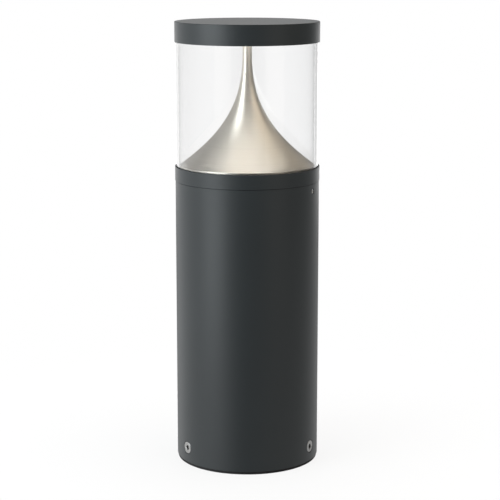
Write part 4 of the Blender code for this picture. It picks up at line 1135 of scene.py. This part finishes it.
def make_world():
    """White wherever the camera looks. What lights the object is bright behind it and dim in front."""
    world = bpy.data.worlds.new("studio")
    world.use_nodes = True
    tree = world.node_tree
    tree.nodes.clear()
    output = tree.nodes.new("ShaderNodeOutputWorld")
    mix = tree.nodes.new("ShaderNodeMixShader")
    seen = tree.nodes.new("ShaderNodeBackground")
    seen.inputs["Color"].default_value = WHITE
    lighting = tree.nodes.new("ShaderNodeBackground")
    path = tree.nodes.new("ShaderNodeLightPath")
    depth = tree.nodes.new("ShaderNodeMath")
    depth.operation = "ADD"
    depth.use_clamp = True
    tree.links.new(path.outputs["Diffuse Depth"], depth.inputs[0])
    tree.links.new(path.outputs["Glossy Depth"], depth.inputs[1])
    place = tree.nodes.new("ShaderNodeTexCoord")
    apart = tree.nodes.new("ShaderNodeSeparateXYZ")
    tree.links.new(place.outputs["Generated"], apart.inputs[0])

    def slope(axis, low, high, amount, base=0.0):
        made = tree.nodes.new("ShaderNodeMapRange")
        made.interpolation_type = "SMOOTHSTEP"
        made.inputs["From Min"].default_value = low
        made.inputs["From Max"].default_value = high
        made.inputs["To Min"].default_value = base
        made.inputs["To Max"].default_value = base + amount
        tree.links.new(apart.outputs[axis], made.inputs["Value"])
        return made.outputs[0]

    def joined(operation, one, other):
        made = tree.nodes.new("ShaderNodeMath")
        made.operation = operation
        tree.links.new(one, made.inputs[0])
        tree.links.new(other, made.inputs[1])
        return made.outputs[0]

    walls = joined("ADD", *(slope(*values) for values in WORLD_SLOPES))
    walls = joined("MULTIPLY", walls, slope(*WORLD_CEILING, base=1.0))
    ground = joined("MULTIPLY", slope(*WORLD_GROUND), slope(*WORLD_GROUND_SIDE, base=0.5))
    around_all = tree.nodes.new("ShaderNodeMath")
    around_all.inputs[1].default_value = WORLD_BASE
    tree.links.new(joined("ADD", walls, ground), around_all.inputs[0])
    tree.links.new(around_all.outputs[0], lighting.inputs["Strength"])
    tree.links.new(depth.outputs[0], mix.inputs[0])
    tree.links.new(seen.outputs[0], mix.inputs[1])
    tree.links.new(lighting.outputs[0], mix.inputs[2])
    tree.links.new(mix.outputs[0], output.inputs[0])
    bpy.context.scene.world = world


def softbox(name, place, target, size, radiance, tint=NEUTRAL):
    """A soft light of a given size and radiance that the camera doesn't see."""
    data = bpy.data.lights.new(name, "AREA")
    data.shape = "RECTANGLE"
    data.size, data.size_y = size
    data.energy = radiance * math.pi * size[0] * size[1]
    data.color = tint
    made = link(name, data)
    made.location = place
    made.rotation_euler = (Vector(target) - Vector(place)).to_track_quat("-Z", "Y").to_euler()
    made.visible_camera = False
    return made


def standing(name, angle, distance, height, size, radiance, tint=NEUTRAL):
    """A soft light that stands upright round the object and faces its axis."""
    place = around(angle, distance, height)
    return softbox(name, place, (0, 0, height), size, radiance, tint)


def make_lights():
    standing("left_softbox", -58, 1.30, 1.35, (0.90, 1.70), 3.9, COOL)
    standing("low_softbox", -55, 1.30, 0.10, (0.75, 0.18), 5.0, COOL)
    standing("right_fill", 42, 1.60, 0.80, (0.90, 1.60), 0.34, CREAM)
    softbox("top_softbox", (1.05, -0.25, 1.50), (0, 0, 0.50), (1.40, 1.40), 1.0, STRAW)
    softbox("flank_softbox", (1.20, 1.15, 1.45), (0, 0, 0.45), (1.00, 1.00), 0.36, AMBER)
    softbox("back_softbox", (0, 1.80, 1.05), (0, 0, 0.58), (1.20, 0.70), 0.76)
    left_panel = softbox("left_rim_panel", (-0.20, 2.20, 0.25), (-0.20, 0, 0.25), (2.60, 0.46), 1.25)
    right_panel = standing("right_rim_panel", 148, 2.20, 0.25, (1.15, 0.46), 1.25)
    # The panels light the rims of the lens, and don't show through it.
    for panel in (left_panel, right_panel):
        panel.visible_transmission = False


def make_camera():
    data = bpy.data.cameras.new("camera")
    data.lens = CAMERA_FOCAL
    data.sensor_width = CAMERA_SENSOR
    data.clip_start = CAMERA_NEAR
    camera = link("camera", data)
    camera.location = around(CAMERA_ANGLE, CAMERA_DISTANCE, CAMERA_HEIGHT)
    turn = math.radians(CAMERA_ANGLE - CAMERA_ASIDE)
    camera.rotation_euler = (math.radians(90 - CAMERA_PITCH), 0, turn)
    bpy.context.scene.camera = camera


make_camera()
make_floor()
make_world()
make_lights()
bpy.context.scene.view_settings.view_transform = "Standard"

dress_packed_nodes()
make_post_tube()
make_base_screws()
make_grub_screws()
make_base_gasket()
make_collar()
make_cap()
make_lens()
make_reflector()
make_ring("opal_diffuser", "diffuser", DIFFUSER_BORE, CRISP, "opal_acrylic")
make_ring("lens_gasket_lower", "lower_gasket", GASKET_BORE, EASED, "seal_rubber")
make_ring("lens_gasket_upper", "upper_gasket", GASKET_BORE, EASED, "seal_rubber")
make_spigot_seal()
make_gear_tray()
make_driver()
make_driver_screws()
make_plug()
make_plug_pins()
make_head_leads()
